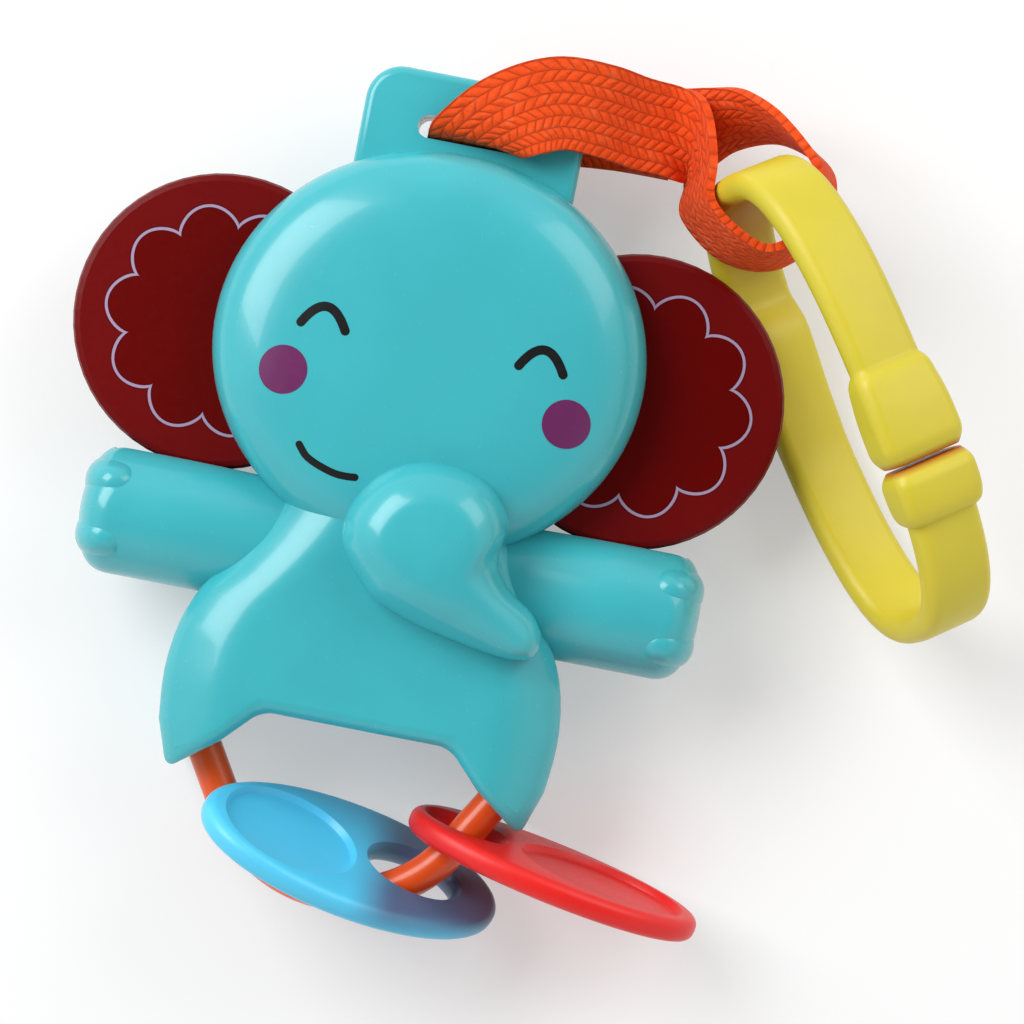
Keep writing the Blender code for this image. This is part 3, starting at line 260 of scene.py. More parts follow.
def weave(along, across, rib, stitch):
    """Height and depth shade of webbing: columns of stitches that slant one way and then the other."""
    column = calc("DIVIDE", across, rib)
    inside = calc("FRACT", column)
    odd = calc("MODULO", calc("FLOOR", column), 2.0)
    way = calc("MULTIPLY_ADD", calc("ABSOLUTE", odd), 2.0, -1.0)
    slant = calc("MULTIPLY", way, calc("MULTIPLY", inside, 0.75))
    row = calc("ADD", calc("DIVIDE", along, stitch), slant)
    crest, groove = [calc("ABSOLUTE", calc("SINE", calc("MULTIPLY", turn, math.pi))) for turn in (row, inside)]
    height = calc("MULTIPLY", calc("POWER", crest, 0.6), calc("POWER", groove, 0.5))
    return {"Height": height, "Shade": fade(height, 0.0, 0.7, 0.25, 1.0)}


def webbing_group():
    return shared_group("Webbing weave", ("Along", "Across", "Rib", "Stitch"), ("Height", "Shade"), weave)


def bare_material(name):
    """A node material, its shader and its Object coordinates."""
    made = bpy.data.materials.new(name)
    made.use_nodes = True
    nodes = made.node_tree.nodes
    return made, nodes["Principled BSDF"], nodes.new("ShaderNodeTexCoord").outputs["Object"]


def new_material(name, roughness, strength=0.12, coat=0.0, coat_roughness=0.08, subsurface=0.0, radius=0.002):
    """A plastic whose roughness and normal come from the moulded group, with the group's outputs."""
    made, shader, place = bare_material(name)
    detail = put(made.node_tree, "ShaderNodeGroup", {"node_tree": moulded_group()},
                 Place=place, Strength=strength, Roughness=roughness).outputs
    feed(shader, Roughness=detail["Roughness"], Normal=detail["Normal"],
         Coat_Weight=coat, Coat_Roughness=coat_roughness,
         Subsurface_Weight=subsurface, Subsurface_Radius=(1.0, 0.6, 0.4), Subsurface_Scale=radius)
    return made, shader, place, detail


def tinted(shader, detail, colour):
    """Links a colour to the shader through the moulded tint."""
    tint = detail["Tint"]
    grey = put(shader.id_data, "ShaderNodeCombineColor", Red=tint, Green=tint, Blue=tint)
    feed(shader, Base_Color=blend_colour(1.0, colour, grey.outputs[0], "MULTIPLY"))


def plain_material(name, colour, roughness, *finish, metallic=0.0):
    """One even colour. The finish follows new_material's arguments."""
    made, shader, place, detail = new_material(name, roughness, *finish)
    feed(shader, Metallic=metallic)
    tinted(shader, detail, colour)
    return made


def teal_material():
    name = "teal gloss"
    if name in bpy.data.materials:
        return bpy.data.materials[name]
    return plain_material(name, colours().teal, 0.24, 0.05, 0.25, 0.04)


def ear_material(side):
    """Dark red plastic with a lighter rim that is partly painted sheen, and a thin scalloped line that is a
    painted highlight with painted shade beside it.
    """
    size, paint = sizes(), colours()
    name = "ear plastic left" if side < 0 else "ear plastic right"
    made, shader, place, detail = new_material(name, 0.34, 0.04)
    feed(shader, Specular_IOR_Level=0.12)
    x, y, z = axes(place)
    x = calc("SUBTRACT", x, side * EAR_CENTRE[0])
    y = calc("SUBTRACT", y, EAR_CENTRE[1])
    reach = calc("SQRT", calc("ADD", calc("MULTIPLY", x, x), calc("MULTIPLY", y, y)))
    turn = calc("SUBTRACT", calc("ARCTAN2", y, x), math.radians(18))
    wave = calc("ABSOLUTE", calc("SINE", calc("MULTIPLY", turn, 5.0)))
    wave = calc("POWER", wave, 0.75)
    line = calc("MULTIPLY_ADD", wave, size.scallop_high - size.scallop_low, size.scallop_low)
    beyond = calc("SUBTRACT", reach, line)
    slope = calc("MULTIPLY_ADD", calc("SUBTRACT", 1.0, wave), 0.8, 1.0)
    off = calc("DIVIDE", calc("ABSOLUTE", beyond), slope)
    half = size.scallop_stroke / 2
    top = fade(z, 0.0170, 0.0173)
    # Here ink is the painted highlight of the line, and shade is the painted shade in a band on both sides of
    # it
    ink = calc("MULTIPLY", fade(off, half, half + 0.00008, 1.0, 0.0), top)
    shade = calc("MULTIPLY", fade(off, half, half + 0.0004, 0.6, 0.0), top)
    # Outside the line the rim is lighter, partly painted sheen
    colour = blend_colour(fade(beyond, 0.0, 0.0002), paint.ear, paint.ear_rim_and_sheen)
    colour = blend_colour(shade, colour, (0.05, 0.0, 0.002))
    tinted(shader, detail, blend_colour(ink, colour, paint.ear_step_highlight))
    return made


def link_material():
    """Satin yellow with painted shade, a deeper orange, in the slit."""
    made, shader, place, detail = new_material("yellow satin", 0.42, 0.1, 0.0, 0.08, 0.15, 0.003)
    near = put(made.node_tree, "ShaderNodeAttribute", {"attribute_name": "slit_shade_share"}).outputs["Fac"]
    tinted(shader, detail, blend_colour(near, colours().yellow, colours().slit))
    return made


def blue_material():
    """Soft blue that darkens towards the eye to a painted purple shadow, where the red leaf lies over it."""
    made, shader, place, detail = new_material("blue soft", 0.36, 0.25, 0.05, 0.08, 0.2, 0.003)
    x, y, z = axes(place)
    # Painted shadow of the red leaf, growing towards the eye's end with a wobbly edge
    drift = calc("MULTIPLY_ADD", noise(place, 90.0, 2.0), 0.0020, x)
    share = fade(drift, 0.0040, 0.0125, 0.0, 0.85)
    share = calc("MULTIPLY", share, fade(y, -0.0885, -0.0835))
    tinted(shader, detail, blend_colour(share, colours().blue, colours().red_leaf_shadow))
    return made


def webbing_material():
    """Coarse orange webbing with painted shade in the weave's grooves, and paler and deeper patches at random.
    """
    size = sizes()
    made, shader, place = bare_material("orange webbing")
    tree = made.node_tree
    along, across = axes(put(tree, "ShaderNodeUVMap", {"uv_map": "strap"}).outputs[0])[:2]
    shift = calc("MULTIPLY_ADD", noise(place, 260.0, 2.0), 0.0008, -0.0004)
    weave = put(tree, "ShaderNodeGroup", {"node_tree": webbing_group()}, Along=calc("ADD", along, shift),
                Across=across, Rib=size.rib_pitch, Stitch=size.stitch_pitch).outputs
    patchiness = noise(place, 420.0, 3.0)
    height = calc("MULTIPLY_ADD", noise(place, 3200.0, 4.0), 0.35, weave["Height"])
    height = calc("MULTIPLY", height, fade(patchiness, 0.3, 0.7, 0.6, 1.2))
    bump = put(tree, "ShaderNodeBump", Strength=0.7, Distance=0.0005, Height=height)
    base = colours().webbing
    # dark is the painted shade in the grooves of the weave
    dark, deep = [tuple(channel * share for channel in base) for share in (0.55, 0.6)]
    pale = tuple(min(channel * 1.5 + 0.03, 1.0) for channel in base)
    colour = blend_colour(weave["Shade"], dark, base)
    colour = blend_colour(fade(patchiness, 0.52, 0.72, 0.0, 0.5), colour, pale)
    colour = blend_colour(fade(patchiness, 0.30, 0.46, 0.45, 0.0), colour, deep)
    feed(shader, Base_Color=colour, Normal=bump.outputs[0], Roughness=0.75, Sheen_Weight=0.05,
         Sheen_Roughness=0.4, Specular_IOR_Level=0.2)
    return made


# Mesh helpers


def clamped(value):
    return min(max(value, 0), 1)


def unit_circle(count):
    turns = [2 * math.pi * index / count for index in range(count)]
    return [(math.cos(turn), math.sin(turn)) for turn in turns]


def new_object(name, work):
    """Turns a bmesh into an object of the scene."""
    mesh = bpy.data.meshes.new(name)
    work.to_mesh(mesh)
    work.free()
    made = bpy.data.objects.new(name, mesh)
    bpy.context.scene.collection.objects.link(made)
    return made


def add_piece(name, work, material, body, slot, *replaced):
    """Turns a bmesh into a piece that rides on a body and may stand for CAD nodes."""
    if slot:
        bmesh.ops.recalc_face_normals(work, faces=work.faces)
    piece = new_object(name, work)
    piece.data.materials.append(material)
    piece.data.shade_smooth()
    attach(piece, body)
    if replaced:
        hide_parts(*replaced)
    return piece


def sharpen(piece, degrees=40):
    piece.data.set_sharp_from_angle(angle=math.radians(degrees))


def apply_modifiers(piece):
    graph = bpy.context.evaluated_depsgraph_get()
    bpy.context.view_layer.update()
    mesh = bpy.data.meshes.new_from_object(piece.evaluated_get(graph))
    piece.modifiers.clear()
    piece.data = mesh


def form(work, cutters=()):
    """A closed form as an object, with other closed forms cut away from it."""
    bmesh.ops.recalc_face_normals(work, faces=work.faces)
    piece = new_object("form", work)
    for tool in cutters:
        cut_away(piece, tool)
    return piece


def cut_away(piece, tool):
    cutter = form(tool)
    cut = piece.modifiers.new("Cut", "BOOLEAN")
    cut.operation = "DIFFERENCE"
    cut.solver = "EXACT"
    cut.object = cutter
    apply_modifiers(piece)
    bpy.data.objects.remove(cutter)


def joined_mesh(pieces):
    """One bmesh of several closed forms."""
    work = bmesh.new()
    for piece in pieces:
        work.from_mesh(piece.data)
        bpy.data.objects.remove(piece)
    return work


def skin(rings):
    """A closed form through rings of the same number of points."""
    work = bmesh.new()
    made = [[work.verts.new(point) for point in ring] for ring in rings]
    for lower, upper in zip(made, made[1:]):
        for index in range(len(lower)):
            after = (index + 1) % len(lower)
            work.faces.new((lower[index], lower[after], upper[after], upper[index]))
    work.faces.new(made[0][::-1])
    work.faces.new(made[-1])
    return work


def tube(points, radius, sides):
    """A round tube with flat ends along a path."""
    rings = []
    for index, point in enumerate(points):
        before = points[max(index - 1, 0)]
        after = points[min(index + 1, len(points) - 1)]
        turn = (after - before).to_track_quat("Z", "Y")
        rings.append([point + turn @ Vector((radius * x, radius * y, 0)) for x, y in unit_circle(sides)])
    return skin(rings)


def round_path(points, radii, steps, ends=None):
    """An outline with its corners rounded, each by its own radius. Ends are the points before and after."""
    made = []
    row = [ends[0], *points, ends[1]] if ends else [points[-1], *points, points[0]]
    for index, radius in enumerate(radii):
        corner = Vector(row[index + 1])
        before = (Vector(row[index]) - corner).normalized()
        after = (Vector(row[index + 2]) - corner).normalized()
        half = before.angle(after) / 2
        centre = corner + (before + after).normalized() * radius / math.sin(half)
        start = corner + before * radius / math.tan(half) - centre
        end = corner + after * radius / math.tan(half) - centre
        for step in range(steps + 1):
            made.append(centre + start.slerp(end, step / steps) * radius)
    return made


def half_slab(outline, way, outer, edge, steps):
    """A slab from the parting plane to its outer face, whose edge runs over a quarter circle of insets."""
    low, high = way * PART_HEIGHT + HALF_GAP, way * outer
    work = bmesh.new()
    base = work.faces.new([work.verts.new((x, y, low)) for x, y in outline])
    base.normal_update()
    if base.normal.z < 0:
        base.normal_flip()
    raised = bmesh.ops.extrude_face_region(work, geom=[base])["geom"]
    cap = next(item for item in raised if isinstance(item, bmesh.types.BMFace))
    lifted = [item for item in raised if isinstance(item, bmesh.types.BMVert)]
    bmesh.ops.translate(work, verts=lifted, vec=(0, 0, high - edge - low))
    for step in range(steps):
        here, there = [math.pi / 2 * place / steps for place in (step, step + 1)]
        inward = edge * (math.cos(here) - math.cos(there))
        bmesh.ops.inset_region(work, faces=[cap], thickness=inward, depth=0, use_even_offset=True)
        bmesh.ops.translate(work, verts=cap.verts, vec=(0, 0, edge * (math.sin(there) - math.sin(here))))
    if way < 0:
        bmesh.ops.scale(work, verts=work.verts, vec=(1, 1, -1))
        bmesh.ops.reverse_faces(work, faces=work.faces)
    return work


def spline(values, index, share):
    last = len(values) - 1
    first, second = values[max(index - 1, 0)], values[index]
    third, fourth = values[index + 1], values[min(index + 2, last)]
    return (
        second * 2
        + (third - first) * share
        + (first * 2 - second * 5 + third * 4 - fourth) * share**2
        + (second * 3 - first - third * 3 + fourth) * share**3
    ) / 2


def stepped(values, substeps):
    """A smooth row of values through the given ones, with even steps between them."""
    spans = [(index, step / substeps) for index in range(len(values) - 1) for step in range(substeps)]
    return [spline(values, index, share) for index, share in spans] + [values[-1]]


# Shells. Way is 1 for the front half and -1 for the rear half


def off_parting(way, rise):
    """A height on one side of the parting plane, clear of its gap."""
    return PART_HEIGHT + way * max(rise, HALF_GAP)


def head_form(way):
    """One half of the head's pillow, as rings of a superellipse."""
    size = sizes()
    height = size.head_top - PART_HEIGHT if way > 0 else PART_HEIGHT + 0.0005
    power = 2 / HEAD_POWER
    rings = []
    for step in range(30):
        angle = math.pi / 2 * step / 30
        reach = math.cos(angle) ** power
        z = max(off_parting(way, math.sin(angle) ** power * height), 0.0)
        rings.append([(size.head_half_x * reach * x, size.head_half_y * reach * y, z)
                      for x, y in unit_circle(128)])
    return skin(rings)


# Half widths of the body at its heights, from under the chin to the leg's tip, and the arch's points
BODY_FLANK = [
    (0.0150, -0.0200), (0.0172, -0.0262), (0.0198, -0.0312), (0.0234, -0.0365), (0.0272, -0.0412),
    (0.0297, -0.0475), (0.0306, -0.0550), (0.0300, -0.0625), (0.0275, -0.0698),
]
ARCH = [(0.0199, -0.0639), (0.0145, -0.0583)]


def body_outline():
    """The belly's smooth side, the pointed leg tip and the arch, on both sides."""
    flank = stepped([Vector(point) for point in BODY_FLANK[1:-1]], 3)
    half = [BODY_FLANK[0], *flank, BODY_FLANK[-1], *ARCH]
    return half + [(-x, y) for x, y in reversed(half)]


def crown(work, top, drop, reach):
    """Lets the belly's front fall away softly towards its flanks."""
    cuts = [((0.0016 * step, 0, 0), (1, 0, 0)) for step in range(-19, 20)]
    cuts += [((0, -0.0180 - 0.0020 * step, 0), (0, 1, 0)) for step in range(27)]
    for place, way in cuts:
        whole = work.verts[:] + work.edges[:] + work.faces[:]
        bmesh.ops.bisect_plane(work, geom=whole, plane_co=place, plane_no=way)
    last = len(BODY_FLANK) - 1
    for vert in work.verts:
        below = next((i for i in range(1, last + 1) if vert.co.y > BODY_FLANK[i][1]), last)
        (wide, low), (wide_next, low_next) = BODY_FLANK[below - 1], BODY_FLANK[below]
        share = clamped((vert.co.y - low) / (low_next - low))
        near = 1 - clamped((wide + (wide_next - wide) * share - abs(vert.co.x)) / reach)
        vert.co.z -= drop * near**2 * (vert.co.z - PART_HEIGHT) / (top - PART_HEIGHT)


def body_form(way):
    """One half of the belly and legs, with softly rounded edges and corners."""
    size = sizes()
    outer, edge_radius, steps = (size.body_top, size.body_edge, 9) if way > 0 else (0.0, 0.0026, 7)
    work = half_slab(body_outline(), way, outer, edge_radius, steps)
    corners = []
    for edge in work.edges:
        upright = abs(edge.verts[0].co.z - edge.verts[1].co.z) > 1e-6
        if upright and edge.is_manifold and edge.calc_face_angle() > math.radians(24):
            corners.append(edge)
    bmesh.ops.bevel(work, geom=corners, offset=0.0018, offset_type="OFFSET", segments=5, profile=0.5,
                    affect="EDGES", material=-1)
    if way > 0:
        crown(work, outer, 0.0046, 0.0115)
    return work


def arm_form(side, way):
    """One half of an arm, with its flattened root and its rounded end."""
    size = sizes()
    edge = 0.0050
    profile = [(0.0110 + 0.0020 * step, size.arm_radius) for step in range(16)]
    for step in range(15):
        angle = math.pi / 2 * step / 14
        profile.append((size.arm_end - edge + edge * math.sin(angle) - 0.0006 * math.cos(angle),
                        size.arm_radius - edge * (1 - math.cos(angle)) - 0.0022 * math.sin(angle) ** 6))
    turns = [math.pi * index / 40 for index in range(41)]
    rings = []
    for along, reach in profile:
        root = clamped((0.0360 - along) / 0.0200)
        flat = 1 - 0.24 * root * root * (3 - 2 * root)
        rings.append([(side * along, ARM_Y + reach * math.cos(turn),
                       off_parting(way, reach * flat * math.sin(turn))) for turn in turns])
    return skin(rings)


# Half sizes of a toe, the power of its rounding, and its place from the arm's middle line
TOE_HALF = (0.0053, 0.0043, 0.0095)
TOE_POWER = 2.2
TOE_PLACE = (0.0432, 0.0041)


def toe_form(side, toe, way):
    """One half of a toe at the end of an arm."""
    work = bmesh.new()
    bmesh.ops.create_uvsphere(work, u_segments=64, v_segments=48, radius=1.0)
    for vert in work.verts:
        swell = sum(abs(value) ** TOE_POWER for value in vert.co) ** (-1 / TOE_POWER)
        vert.co = Vector([value * swell * half for value, half in zip(vert.co, TOE_HALF)])
        vert.co.z = way * max(way * vert.co.z, HALF_GAP)
    place = (side * TOE_PLACE[0], ARM_Y + toe * TOE_PLACE[1], PART_HEIGHT)
    bmesh.ops.translate(work, verts=work.verts, vec=place)
    bmesh.ops.dissolve_degenerate(work, dist=1e-6, edges=work.edges)
    return work


def tab_form(way):
    """One half of the strap's tab."""
    half, root, top = 0.0172, 0.0240, 0.0428
    foot = [(-half, root), (half, root)]
    corners = round_path([(half, top), (-half, top)], [0.0055, 0.0055], 10, foot[::-1])
    return half_slab(foot + corners, way, 0.0190 if way > 0 else 0.0100, 0.0014, 5)


def flat_cutter(outline, low, high):
    """An upright cutter on an outline."""
    return skin([[(x, y, z) for x, y in outline] for z in (low, high)])


def half_circles(radius, straight_x, straight_y, x, y, steps=32):
    """The outline of two half circles with straight sides along X or along Y."""
    made = []
    for index in range(2 * steps):
        turn = 2 * math.pi * (index + 0.5) / (2 * steps)
        shift_x = math.copysign(straight_x, math.cos(turn))
        shift_y = math.copysign(straight_y, math.sin(turn))
        made.append((x + shift_x + radius * math.cos(turn), y + shift_y + radius * math.sin(turn)))
    return made


def ear_slots():
    """The spaces that the ears sweep."""
    lift = 0.0181 * math.sin(math.radians(8))
    x, y = EAR_CENTRE
    return [flat_cutter(half_circles(0.0232, 0.0, lift, side * x, y, 64), 0.0122, 0.0178) for side in BOTH]


def bar_leg(side):
    """A place of the bar in one leg, and its way from there towards the middle."""
    along = Vector((side * -math.sin(BAR_SLOPE), -math.cos(BAR_SLOPE), 0))
    return Vector((side * BAR_LEG[0], BAR_LEG[1], PART_HEIGHT)), along


def bar_channel():
    """The seat of the bar in both legs."""
    cutters = []
    for leg, along in map(bar_leg, BOTH):
        start = leg - along * BAR_INNER_LENGTH
        cutters.append(tube([start, start + along * 0.0200], BAR_RADIUS + 0.0003, 40))
    return cutters


SCREW_PLACES = [(-0.0145, -0.0010), (0.0145, -0.0010), (0.0, 0.0205), (-0.0235, -0.0510), (0.0235, -0.0510)]


def shell_skin(way):
    """All outer forms of one shell, with its slots and sinks cut in."""
    sinks = [flat_cutter(half_circles(0.0029, 0.0, 0.0, x, y, 24), -0.0050, 0.0060)
             for x, y in SCREW_PLACES if way < 0]
    forms = [
        form(head_form(way), ear_slots() + sinks[:3]),
        form(body_form(way), bar_channel() + sinks[3:] + ear_slots()),
        form(tab_form(way), [flat_cutter(half_circles(0.0018, 0.0067, 0.0, 0.0, 0.0343), 0.0040, 0.0250)]),
    ]
    for side in BOTH:
        forms.append(form(arm_form(side, way), ear_slots()))
        for toe in BOTH:
            forms.append(form(toe_form(side, toe, way)))
    return joined_mesh(forms)


class TEETHER_OT_shells(bpy.types.Operator):
    """Models the smooth front and back of the head, belly, legs, arms and tab"""

    bl_idname = "teether.shells"
    bl_label = "Shells"

    def execute(self, context):
        for name, way in (("front", 1), ("rear", -1)):
            skin_name, shell = f"{name}_skin", f"{name}_shell"
            sharpen(add_piece(skin_name, shell_skin(way), teal_material(), "toy", "teal_plastic", shell))
        return {"FINISHED"}


# Face print: the top of each eye, the middle of each cheek and places along the smile

EYE_TOPS = ((-0.0163, 0.0037), (0.0171, 0.0035))
CHEEKS = ((-0.0209, -0.0068), (0.0225, -0.0068))
SMILE = [(-0.0164, -0.0174), (-0.0152, -0.0188), (-0.0138, -0.0196), (-0.0122, -0.0202), (-0.0103, -0.0207),
         (-0.0086, -0.0208), (-0.0072, -0.0207)]
# How fast an eye's arch falls from its top, and the print's height over the face
EYE_CURVE = 260
PRINT_LIFT = 0.00003


def face_height(x, y):
    """The height of the face at one place, on the head's superellipse."""
    size = sizes()
    reach = math.hypot(x / size.head_half_x, y / size.head_half_y)
    return PART_HEIGHT + (size.head_top - PART_HEIGHT) * (1 - reach**HEAD_POWER) ** (1 / HEAD_POWER)


def lay_point(work, place):
    return work.verts.new((place.x, place.y, face_height(place.x, place.y) + PRINT_LIFT))


def print_line(work, places, width):
    """A printed stroke with round ends that lies on the face."""
    path = stepped([Vector(place) for place in places], 8)
    rows = []
    for index, point in enumerate(path):
        along = (path[min(index + 1, len(path) - 1)] - path[max(index - 1, 0)]).normalized()
        side = Vector((-along.y, along.x))
        rows.append([point + side * width * share for share in (0.5, 0.25, 0.0, -0.25, -0.5)])
    for end, inner in ((rows[0], rows[1]), (rows[-1], rows[-2])):
        centre = end[2]
        along = (centre - inner[2]).normalized()
        side = (end[0] - centre).normalized()
        turns = [math.pi * index / 12 for index in range(13)]
        work.faces.new([lay_point(work, centre + (side * math.cos(turn) + along * math.sin(turn)) * width / 2)
                        for turn in turns])
    made = [[lay_point(work, place) for place in row] for row in rows]
    for row, after in zip(made, made[1:]):
        for index in range(4):
            work.faces.new((row[index], row[index + 1], after[index + 1], after[index]))


def print_disc(work, x, y, radius):
    """A printed round spot that follows the face in rings."""
    rings = []
    for share in range(1, 7):
        reach = radius * share / 6
        rings.append([lay_point(work, Vector((x + reach * across, y + reach * up)))
                      for across, up in unit_circle(64)])
    work.faces.new(rings[0])
    for inner, outer in zip(rings, rings[1:]):
        for here in range(64):
            after = (here + 1) % 64
            work.faces.new((inner[here], outer[here], outer[after], inner[after]))


class TEETHER_OT_face_print(bpy.types.Operator):
    """Lays the printed eyes, cheeks and smile on the face"""

    bl_idname = "teether.face_print"
    bl_label = "Face Print"

    def execute(self, context):
        size, paint = sizes(), colours()
        strokes, spots = bmesh.new(), bmesh.new()
        for x, y in EYE_TOPS:
            steps = [size.eye_span * (index / 6 - 1) for index in range(13)]
            arch = [(x + step + 0.0001, y - EYE_CURVE * step * step * (1 if step < 0 else 1.03))
                    for step in steps]
            print_line(strokes, arch, size.eye_stroke)
        print_line(strokes, SMILE, size.smile_stroke)
        for x, y in CHEEKS:
            print_disc(spots, x, y, size.cheek_radius)
        for name, work, ink, colour in (("eyes_and_smile", strokes, "black ink", paint.print_black),
                                        ("cheeks", spots, "plum ink", paint.cheek)):
            upward(work)
            add_piece(name, work, plain_material(ink, colour, 0.3, 0.05, 0.2, 0.05), "toy", None)
        return {"FINISHED"}


def upward(work):
    """Turns all faces of an open print to the front."""
    work.normal_update()
    for face in work.faces:
        if face.normal.z < 0:
            face.normal_flip()


# The trunk's outline from its tip around the knob, and the line under its ridge
TRUNK_OUTLINE = [
    (0.02432, -0.04261), (0.02519, -0.03986), (0.02462, -0.03810), (0.02274, -0.03565),
    (0.01923, -0.03328), (0.01743, -0.03129), (0.01656, -0.02982), (0.01637, -0.02821),
    (0.01651, -0.02654), (0.01702, -0.02434), (0.01691, -0.02295), (0.01604, -0.02113),
    (0.01463, -0.01929), (0.01268, -0.01768), (0.01011, -0.01653), (0.00648, -0.01595),
    (0.00300, -0.01616), (-0.00009, -0.01711), (-0.00283, -0.01870), (-0.00499, -0.02088),
    (-0.00658, -0.02353), (-0.00757, -0.02630), (-0.00760, -0.02912), (-0.00705, -0.03136),
    (-0.00524, -0.03405), (-0.00317, -0.03623), (-0.00093, -0.03814), (0.00290, -0.03974),
    (0.00664, -0.04089), (0.01031, -0.04170), (0.01397, -0.04239), (0.01760, -0.04298),
    (0.02116, -0.04322),
]
TRUNK_RIDGE = ((0.0044, -0.0285), (0.0072, -0.0304), (0.0215, -0.0400))
# Its root inside the head, the foot of its round, its knob's height and how much lower the tail ends
TRUNK_ROOT_Z = 0.0215
TRUNK_FOOT_Z = 0.0280
TRUNK_KNOB = 0.0086
TRUNK_FALL = 0.0040
TRUNK_ROUND = 0.0074


class TEETHER_OT_trunk(bpy.types.Operator):
    """Models the trunk's knob and tail as one soft drop"""

    bl_idname = "teether.trunk"
    bl_label = "Trunk"

    def execute(self, context):
        knob, start, end = [Vector(place) for place in TRUNK_RIDGE]
        ridge = (end - start).normalized()
        spokes = []
        outline = [Vector(point) for point in TRUNK_OUTLINE + TRUNK_OUTLINE[:1]]
        for place in stepped(outline, 6)[:-1]:
            share = clamped((place - start).dot(ridge) / (end - start).length) ** 1.15
            near_knob = knob.lerp(start, min((place - knob).length / 0.04, 1))
            target = start.lerp(end, share) if share > 0 else near_knob
            spokes.append((place, target, TRUNK_KNOB - TRUNK_FALL * share**1.4))
        rings = [[(place.x, place.y, TRUNK_ROOT_Z) for place, target, top in spokes]]
        for step in range(25):
            inward = (step / 24) ** 1.3
            ring = []
            for place, target, top in spokes:
                gap = (place - target).length
                fall = max(1 - gap * inward / min(TRUNK_ROUND, gap), 0)
                spot = place.lerp(target, inward * 0.999)
                rise = math.sqrt(1 - fall * fall) * 0.88 + 0.12 * inward
                ring.append((spot.x, spot.y, TRUNK_FOOT_Z + top * rise))
            rings.append(ring)
        piece = add_piece("trunk_skin", skin(rings), teal_material(), "toy", "teal_plastic", "trunk")
        remesh = piece.modifiers.new("Join", "REMESH")
        remesh.mode = "VOXEL"
        remesh.voxel_size = 0.0004
        remesh.use_smooth_shade = True
        soft = piece.modifiers.new("Soften", "SMOOTH")
        soft.factor = 0.6
        soft.iterations = 22
        apply_modifiers(piece)
        return {"FINISHED"}


# The snap link's length, width, width of band and thickness, its slit and its pose
LINK_LENGTH = 0.0765
LINK_WIDTH = 0.0385
LINK_BAND = 0.0115
LINK_THICK = 0.0042
LINK_SWELL = 0.0017
LINK_POWER = 0.76
SLIT_PLACE = 0.0124
SLIT_OPENING = 0.0003
LINK_HEADING = math.radians(-56.3)
LINK_LEAN = math.radians(20)
LINK_MIDDLE = (0.06366, 0.00515)
LINK_LIFT = 0.0009


def knuckle(turn):
    """Shares of the thick ends beside the slit, and with the bulge opposite to it."""
    half = LINK_LENGTH / 2
    away = half * min(abs(turn), abs(2 * math.pi - turn))
    ends = math.sqrt(max(1 - (away / 0.0098) ** 5, 0))
    if away < 0.0030:
        ends -= 0.9 * (1 - away / 0.0030) ** 2
    beyond = half * (turn - math.pi) + 0.0010
    lobe = min(abs(beyond) / (0.0130 if beyond > 0 else 0.0065), 1)
    return ends, 1.4 * math.cos(math.pi / 2 * lobe) ** 1.3


def link_section(ends, lobe):
    """The band's section, as places across it and depths inward."""
    half = LINK_BAND / 2 + 0.0012 * ends
    outer = -LINK_SWELL * ends
    inner = LINK_THICK + LINK_SWELL * max(ends, lobe)
    rounded = round_path([(-half, outer), (half, outer), (half, inner), (-half, inner)], [0.0019] * 4, 6)
    return [(x, y - 0.0003 * (1 - (x / half) ** 2) if y < (outer + inner) / 2 else y) for x, y in rounded]


def signed_power(value, power):
    return math.copysign(abs(value) ** power, value)


class TEETHER_OT_link(bpy.types.Operator):
    """Models the snap link with its slit between two thick ends"""

    bl_idname = "teether.link"
    bl_label = "Snap Link"

    def execute(self, context):
        along = Vector((math.cos(LINK_HEADING), math.sin(LINK_HEADING), 0))
        level = Vector((-along.y, along.x, 0))
        short = level * math.sin(LINK_LEAN) + Vector((0, 0, 1)) * math.cos(LINK_LEAN)
        normal = along.cross(short)
        lift = LINK_WIDTH / 2 * math.cos(LINK_LEAN) + LINK_BAND / 2 * math.sin(LINK_LEAN) + LINK_LIFT
        centre = Vector((*LINK_MIDDLE, lift))
        length, width = LINK_LENGTH / 2, LINK_WIDTH / 2
        slit = math.acos((SLIT_PLACE / length) ** (1 / LINK_POWER))
        opening = SLIT_OPENING / 2 / width
        steps = 300
        rings = []
        for step in range(steps + 1):
            turn = 2 * math.pi * step / steps
            angle = slit + opening + (turn - 0.6 * math.sin(turn)) * (1 - opening / math.pi)
            far, high = math.cos(angle), math.sin(angle)
            place = along * length * signed_power(far, LINK_POWER)
            place += short * width * signed_power(high, LINK_POWER)
            outward = along * signed_power(far, 2 - LINK_POWER) / length
            outward += short * signed_power(high, 2 - LINK_POWER) / width
            outward.normalize()
            rings.append([centre + place - outward * depth + normal * across
                          for across, depth in link_section(*knuckle(angle - slit))])
        piece = add_piece("snap_link", skin(rings), link_material(), "link", "yellow_plastic", "link_ring")
        # Share of the painted slit shade, fading over three rings from each side of the slit
        near = piece.data.attributes.new("slit_shade_share", "FLOAT", "POINT")
        for index, value in enumerate(near.data):
            ring = index // len(rings[0])
            value.value = max(1 - min(ring, steps - ring) / 3, 0)
        sharpen(piece, 50)
        return {"FINISHED"}


# The bar: its slope and place in the legs, its lowest place, its length inside a leg and its radius
BAR_SLOPE = math.radians(31)
BAR_LEG = (0.0226, -0.0660)
BAR_BOTTOM_Y = -0.0843
BAR_INNER_LENGTH = 0.0065
BAR_RADIUS = 0.00275


